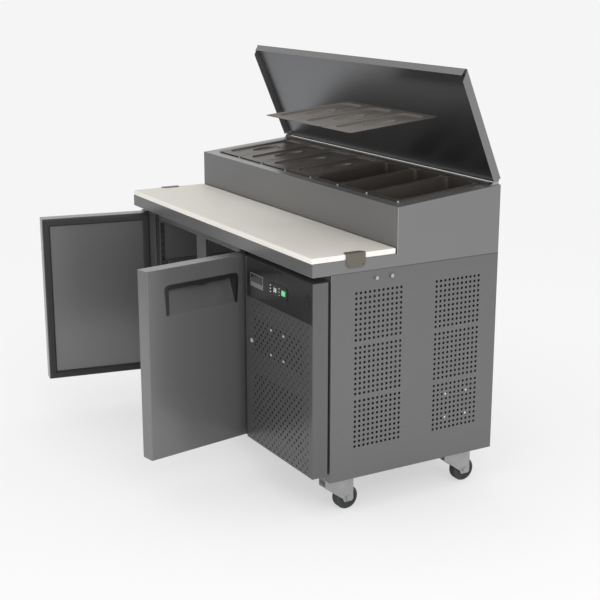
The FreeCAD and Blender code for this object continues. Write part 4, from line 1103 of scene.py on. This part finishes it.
panNumbers = range(1, 8)
lid = {
    "width": 0.176,
    "length": 0.325,
    "corner": 0.012,
    "border": 0.024,
    "dishCorner": 0.028,
    "dishSteps": ((0.0012, 0.0006), (0.0010, 0.0), (0.0014, -0.0008), (0.0024, -0.0022), (0.0024, -0.0022),
                  (0.0016, -0.0004)),
    "slope": 5.35,
    "scoopLength": 0.128,
    "scoopWidth": 0.056,
    "scoopMiddle": 0.162,
    "scoopSteps": ((0.0009, 0.965), (0.0, 0.97), (-0.002, 0.955), (-0.0026, 0.92), (-0.0022, 0.87),
                   (-0.0014, 0.76), (-0.0005, 0.5)),
    "ringSlack": 0.00005,
    "floorSlack": 0.0001,
    "ovalSlack": 0.02,
    "sheet": 0.0009,
    "beadFoot": 0.00015,
    "vent": (0.031, 0.206, -0.0049),
    "ventRadius": 0.0042,
    "ventHeight": 0.0012,
    "ventRound": 0.0003,
}


def roundedOutline(name, low, high, corner):
    # flat face with rounded corners
    piece = addPlane(name, low, high)
    pickPoints(piece, lambda c: True)
    bpy.ops.mesh.bevel(offset=corner, segments=6, affect="VERTICES")
    leaveEdit()
    return piece


def ringFilled(piece, height):
    # fills the flat ring between the two outlines at a height
    pickEdges(piece, lambda ends: level(ends, 2, height, lid["ringSlack"]))
    bpy.ops.mesh.fill(use_beauty=True)
    leaveEdit()


def faceUp(piece):
    pickAll(piece)
    bpy.ops.mesh.normals_make_consistent(inside=False)
    leaveEdit()
    if sum(face.normal.z * face.area for face in piece.data.polygons) < 0:
        flipped(piece)


def ovalReach(point):
    # 1 on the outline of the finger scoop, and less within it
    across = point.x / (lid["scoopWidth"] / 2)
    along = (point.y - lid["scoopMiddle"]) / (lid["scoopLength"] / 2)
    return across * across + along * along


def buildLid():
    p = lid
    half = p["width"] / 2
    edge = p["border"]
    dish = roundedOutline("lidPressed", (edge - half, edge, 0), (half - edge, p["length"] - edge, 0),
                          p["dishCorner"])
    pickFaces(dish, lambda f: True)
    for width, rise in p["dishSteps"]:
        bpy.ops.mesh.inset(thickness=width, depth=rise)
    bpy.ops.mesh.delete(type="ONLY_FACE")
    leaveEdit()
    floor = min(point.co.z for point in dish.data.vertices)
    rim = roundedOutline("lidRim", (-half, 0, 0), (half, p["length"], 0), p["corner"])
    pickFaces(rim, lambda f: True)
    bpy.ops.mesh.delete(type="ONLY_FACE")
    leaveEdit()
    clearSelection()
    bpy.ops.mesh.primitive_circle_add(vertices=32, radius=1, location=(0, p["scoopMiddle"], floor))
    oval = justAdded("scoopOval", (p["scoopWidth"] / 2, p["scoopLength"] / 2, 1))
    piece = joinPieces("lidPressed", [dish, rim, oval])
    ringFilled(piece, 0)
    ringFilled(piece, floor)

    def onOval(c):
        return near(ovalReach(c), 1, p["ovalSlack"]) and near(c.z, floor, p["floorSlack"])

    pickEdges(piece, lambda ends: all(map(onOval, ends)))
    for rise, shrink in p["scoopSteps"]:
        bpy.ops.mesh.extrude_edges_move(TRANSFORM_OT_translate={"value": (0, 0, rise)})
        bpy.ops.transform.resize(value=(shrink, shrink, 1))
    bpy.ops.mesh.edge_face_add()
    leaveEdit()
    faceUp(piece)
    thickened(piece, p["sheet"])
    return smoothed(piece, angle=35)


def buildLids():
    p = lid
    pressed = buildLid()
    # the raised beads and the scoops get the paler copy, a painted highlight
    pale = {face.index for face in pressed.data.polygons
            if face.center.z > p["beadFoot"] or ovalReach(face.center) < 1}
    vent = addDisc("lidVent", p["vent"], 2, p["ventRadius"], p["ventHeight"], sides=14)
    bevelled(vent, p["ventRound"], angle=60)
    tilt = Matrix.Rotation(math.radians(p["slope"]), 4, "X")
    for number in panNumbers:
        node = "pan_lid_%d" % number
        low, high = corners(node)
        rearTop = Vector(((low.x + high.x) / 2, high.y, high.z))
        place = Matrix.Translation(rearTop - tilt @ Vector((0, p["length"], 0))) @ tilt
        twin = placedBy(ownCopy(pressed, node + "Pressed"), place)
        finishAs(twin, node)
        secondFinish(twin, "lidPaintedSheen", lambda f: f.index in pale)
        twin = placedBy(ownCopy(vent, node + "Vent"), place)
        finish(twin, "ventBlack", body=bodyOf[node])
    for spare in (pressed, vent):
        bpy.data.objects.remove(spare)


buildLids()
print("lids pressed")

# pans and the other pieces that only need softer edges

panRound = 0.0010
edgeRounds = {"board_brackets": 0.0005, "cover_shell": 0.0010, "cabinet_body": 0.0015, "fasteners": 0.0008}
gasketRound = 0.0020
boardRound = 0.0022

for number in panNumbers:
    softened("pan_%d" % number, panRound, segments=3, angle=30)
print("pans smoothed")

for node, width in edgeRounds.items():
    softened(node, width)
for side in ("left", "right"):
    softened(side + "_door_gasket", gasketRound, segments=3)
print("edges softened")

# cutting board, its sides and underside paler: painted light on the edges

board = softened("cutting_board", boardRound, segments=3)
secondFinish(board, "boardEdgeLit", lambda f: f.normal.z < 0.5)
print("board made")

# hinge brackets: black at the doors, bright at the cover

brackets = {"split": 0.9, "round": 0.0006}


def buildBrackets():
    for name, above in (("coverGussets", True), ("doorBrackets", False)):
        piece = cadCopy("hinge_brackets", name)
        removeFaces(piece, lambda f: (f.center.z > brackets["split"]) != above)
        bevelled(piece, brackets["round"])
        tone = "railSteel" if above else "handle_black"
        finish(piece, tone, ("hinge_brackets",))


buildBrackets()
print("brackets made")

# pan frame: ledge and dividers, a raised rail behind them, and pale divider tips, a painted highlight where
# the dividers show between the lids' rounded corners

frameTrim = {
    "railFront": 0.318,
    "railRear": 0.328,
    "railFoot": 1.0075,
    "railTop": 1.0187,
    "railRound": 0.0012,
    "railGap": 0.0002,
    "tipOffset": 0.0013,
    "tipRound": 0.0010,
    "tipHalf": 0.0028,
    "tipFront": -0.0112,
    "tipRear": -0.0062,
    "tipFoot": 0.9788,
    "tipTop": 0.9832,
}


def buildFrameTrim():
    p = frameTrim
    ledge = cadCopy("pan_frame", "panLedge")
    pickFaces(ledge, lambda f: True)
    bpy.ops.mesh.bisect(plane_co=(0, p["railFront"] - p["railGap"], 0), plane_no=(0, 1, 0), use_fill=True,
                        clear_outer=True)
    leaveEdit()
    finish(ledge, "pan_steel", ("pan_frame",))
    low, high = corners("pan_frame")
    rail = addBlock("rearRail", (low.x, p["railFront"], p["railFoot"]), (high.x, p["railRear"], p["railTop"]))
    bevelled(rail, p["railRound"], segments=3)
    finish(rail, "pan_steel", ("pan_frame",))
    tips = []
    for number in panNumbers:
        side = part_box("pan_%d" % number)[1][0] + p["tipOffset"]
        tips.append(addBlock("tip", (side - p["tipHalf"], p["tipFront"], p["tipFoot"]),
                             (side + p["tipHalf"], p["tipRear"], p["tipTop"])))
    # pale blocks on the real divider ends: painted highlight
    tips = bevelled(joinPieces("dividerTipHighlights", tips), p["tipRound"], segments=3)
    finish(tips, "paintedGlintSteel")


buildFrameTrim()
print("pan frame made")

# rolled hem along the cover's lower edge, and the hinge leaf below it

hem = {
    "end": 0.0085,
    "front": 0.3425,
    "rear": 0.3470,
    "foot": 1.0168,
    "top": 1.0224,
    "round": 0.0016,
    "leafFront": 0.3402,
    "leafRear": 0.3418,
    "leafFoot": 1.0108,
    "leafTop": 1.0161,
    "leafRound": 0.0004,
}


def buildHem():
    low, high = corners("cover_shell")
    p = hem
    x0, x1 = low.x + p["end"], high.x - p["end"]
    piece = addBlock("coverHem", (x0, p["front"], p["foot"]), (x1, p["rear"], p["top"]))
    bevelled(piece, p["round"], segments=3)
    finish(piece, "liner_dark", body=bodyOf["cover_shell"])
    leaf = addBlock("hingeLeaf", (x0, p["leafFront"], p["leafFoot"]), (x1, p["leafRear"], p["leafTop"]))
    bevelled(leaf, p["leafRound"])
    finish(leaf, "railSteel")


buildHem()
print("cover hem made")

# sheet behind the vent panel, open only at two windows

backing = {
    "xs": (0.302, 0.619),
    "windows": ((0.212, 0.392), (0.467, 0.574)),
    "gap": 0.0002,
    "sheet": 0.001,
    "reach": ((0.262, 0.152), (0.664, 0.6385)),
    "shadeBlockInset": 0.012,
    "shadeBlockGap": 0.008,
    "shadeBlockDepth": 0.005,
    "shadeBlockRound": 0.0012,
}


def buildBacking():
    p = backing
    (x0, z0), (x1, z1) = p["reach"]
    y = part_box("front_vent_panel")[0][1] + ventPanel["sheet"] + p["gap"]
    piece = addPlane("ventBackingSheet", (x0, y, z0), (x1, y, z1))
    cutAcross(piece, 0, p["xs"], lambda f: True)
    cutAcross(piece, 2, [z for window in p["windows"] for z in window], lambda f: True)
    removeFaces(piece, lambda f: p["xs"][0] < f.center.x < p["xs"][1]
                and any(a < f.center.z < b for a, b in p["windows"]))
    thickened(piece, p["sheet"])
    finish(piece, "dark_panel", ("vent_backing",))
    # black block held behind the windows: painted shade, so the holes there show dark
    shadeBlock = addBlock("windowShadeBlock", (x0 + p["shadeBlockInset"], y + p["shadeBlockGap"], z0 + p["shadeBlockInset"]),
                    (x1 - p["shadeBlockInset"], y + p["shadeBlockGap"] + p["shadeBlockDepth"], z1 - p["shadeBlockInset"]))
    bevelled(shadeBlock, p["shadeBlockRound"])
    finish(shadeBlock, "ventBlack", ("vent_backing",))


buildBacking()
print("backing sheet made")


# studio

studio = {
    "background": "f5f5f5",
    "floorTone": 0.96,
    "ambient": 0.85,
    "fillFront": 1.15,
    "mirrorFront": 0.3,
    "shadowLift": 0.58,
    "keyPower": 70.0,
    "keyPlace": (4.6, -0.8, 2.4),
    "keySize": 3.0,
    "topPower": 15.0,
    "topPlace": (-0.5, -0.8, 4.2),
    "topSize": 3.5,
    "lampAim": (0, 0, 0.6),
    "dimming": (-0.9, 0.1),
    "floorSize": 60,
    "floorDrop": 0.0005,
    "floorRoughness": 0.9,
    "floorFade": (2.2, 4.5),
    "lens": 75.4,
    "sensor": 36,
    "viewFrom": (3.8087, -2.1934, 1.6937),
    "viewTurn": (75.036, 0, 60.054),
}


def mixedShader(tree, factor, first, second):
    mix = newNode(tree, "MixShader")
    for place, source in enumerate((factor, first, second)):
        link(tree, source, mix.inputs[place])
    return mix.outputs[0]


def buildWorld():
    p = studio
    world = bpy.data.worlds.new("studioWorld")
    bpy.context.scene.world = world
    world.use_nodes = True
    tree = world.node_tree
    tree.nodes.clear()
    output = newNode(tree, "OutputWorld")
    seen = newNode(tree, "Background", Color=srgb(p["background"]))
    mirrored = newNode(tree, "Background", Color=srgb(p["background"]))
    fill = newNode(tree, "Background", Color=(1, 1, 1, 1))
    # what mirrors see is dim at the front, while the soft light is stronger there
    apart = newNode(tree, "SeparateXYZ")
    link(tree, newNode(tree, "TexCoord").outputs["Generated"], apart.inputs[0])
    for light, front, behind in ((mirrored, p["mirrorFront"], 1.0),
                                 (fill, p["fillFront"], p["ambient"])):
        link(tree, ranged(tree, apart.outputs["Y"], front, behind, *p["dimming"]),
             light.inputs["Strength"])
    path = newNode(tree, "LightPath")
    either = newNode(tree, "Math")
    either.operation = "MAXIMUM"
    link(tree, path.outputs["Is Glossy Ray"], either.inputs[0])
    link(tree, path.outputs["Is Transmission Ray"], either.inputs[1])
    indirect = mixedShader(tree, either.outputs[0], fill.outputs[0], mirrored.outputs[0])
    blend = mixedShader(tree, path.outputs["Is Camera Ray"], indirect, seen.outputs[0])
    link(tree, blend, output.inputs["Surface"])


def buildFloor():
    p = studio
    clearSelection()
    bpy.ops.mesh.primitive_plane_add(size=p["floorSize"], location=(0, 0, -p["floorDrop"]))
    floor = justAdded("studioFloor")
    material, tree, shader, coords = newMaterial("studioFloor")
    tone = p["floorTone"]
    setInputs(shader, Base_Color=(tone, tone, tone, 1), Roughness=p["floorRoughness"],
              Specular_IOR_Level=0.0)
    reach = newNode(tree, "VectorMath")
    reach.operation = "LENGTH"
    link(tree, coords.outputs["Object"], reach.inputs[0])
    fade = ranged(tree, reach.outputs["Value"], 1.0, 0.0, *p["floorFade"])
    # far off the floor gives way to the backdrop, and to the eye its shadow is softened
    pale = newNode(tree, "Emission", Color=srgb(p["background"]))
    clear = newNode(tree, "BsdfTransparent")
    path = newNode(tree, "LightPath")
    lift = newNode(tree, "Math")
    lift.operation = "MULTIPLY"
    lift.inputs[1].default_value = p["shadowLift"]
    link(tree, path.outputs["Is Camera Ray"], lift.inputs[0])
    lifted = mixedShader(tree, lift.outputs[0], shader.outputs[0], pale.outputs[0])
    faded = mixedShader(tree, fade, clear.outputs[0], lifted)
    link(tree, faded, tree.nodes["Material Output"].inputs["Surface"])
    floor.data.materials.append(material)


def buildLampsAndCamera():
    p = studio
    for name in ("key", "top"):
        lamp = bpy.data.lights.new(name + "Lamp", "AREA")
        lamp.energy = p[name + "Power"]
        lamp.size = p[name + "Size"]
        holder = bpy.data.objects.new(name + "Lamp", lamp)
        holder.location = p[name + "Place"]
        aim = Vector(p["lampAim"]) - holder.location
        holder.rotation_euler = aim.to_track_quat("-Z", "Y").to_euler()
        bpy.context.scene.collection.objects.link(holder)

    lens = bpy.data.cameras.new("viewCamera")
    lens.lens = p["lens"]
    lens.sensor_width = p["sensor"]
    camera = bpy.data.objects.new("viewCamera", lens)
    camera.location = p["viewFrom"]
    camera.rotation_euler = [math.radians(turn) for turn in p["viewTurn"]]
    bpy.context.scene.collection.objects.link(camera)
    bpy.context.scene.camera = camera
    bpy.context.scene.view_settings.view_transform = "Standard"


buildWorld()
buildFloor()
buildLampsAndCamera()
print("studio ready")
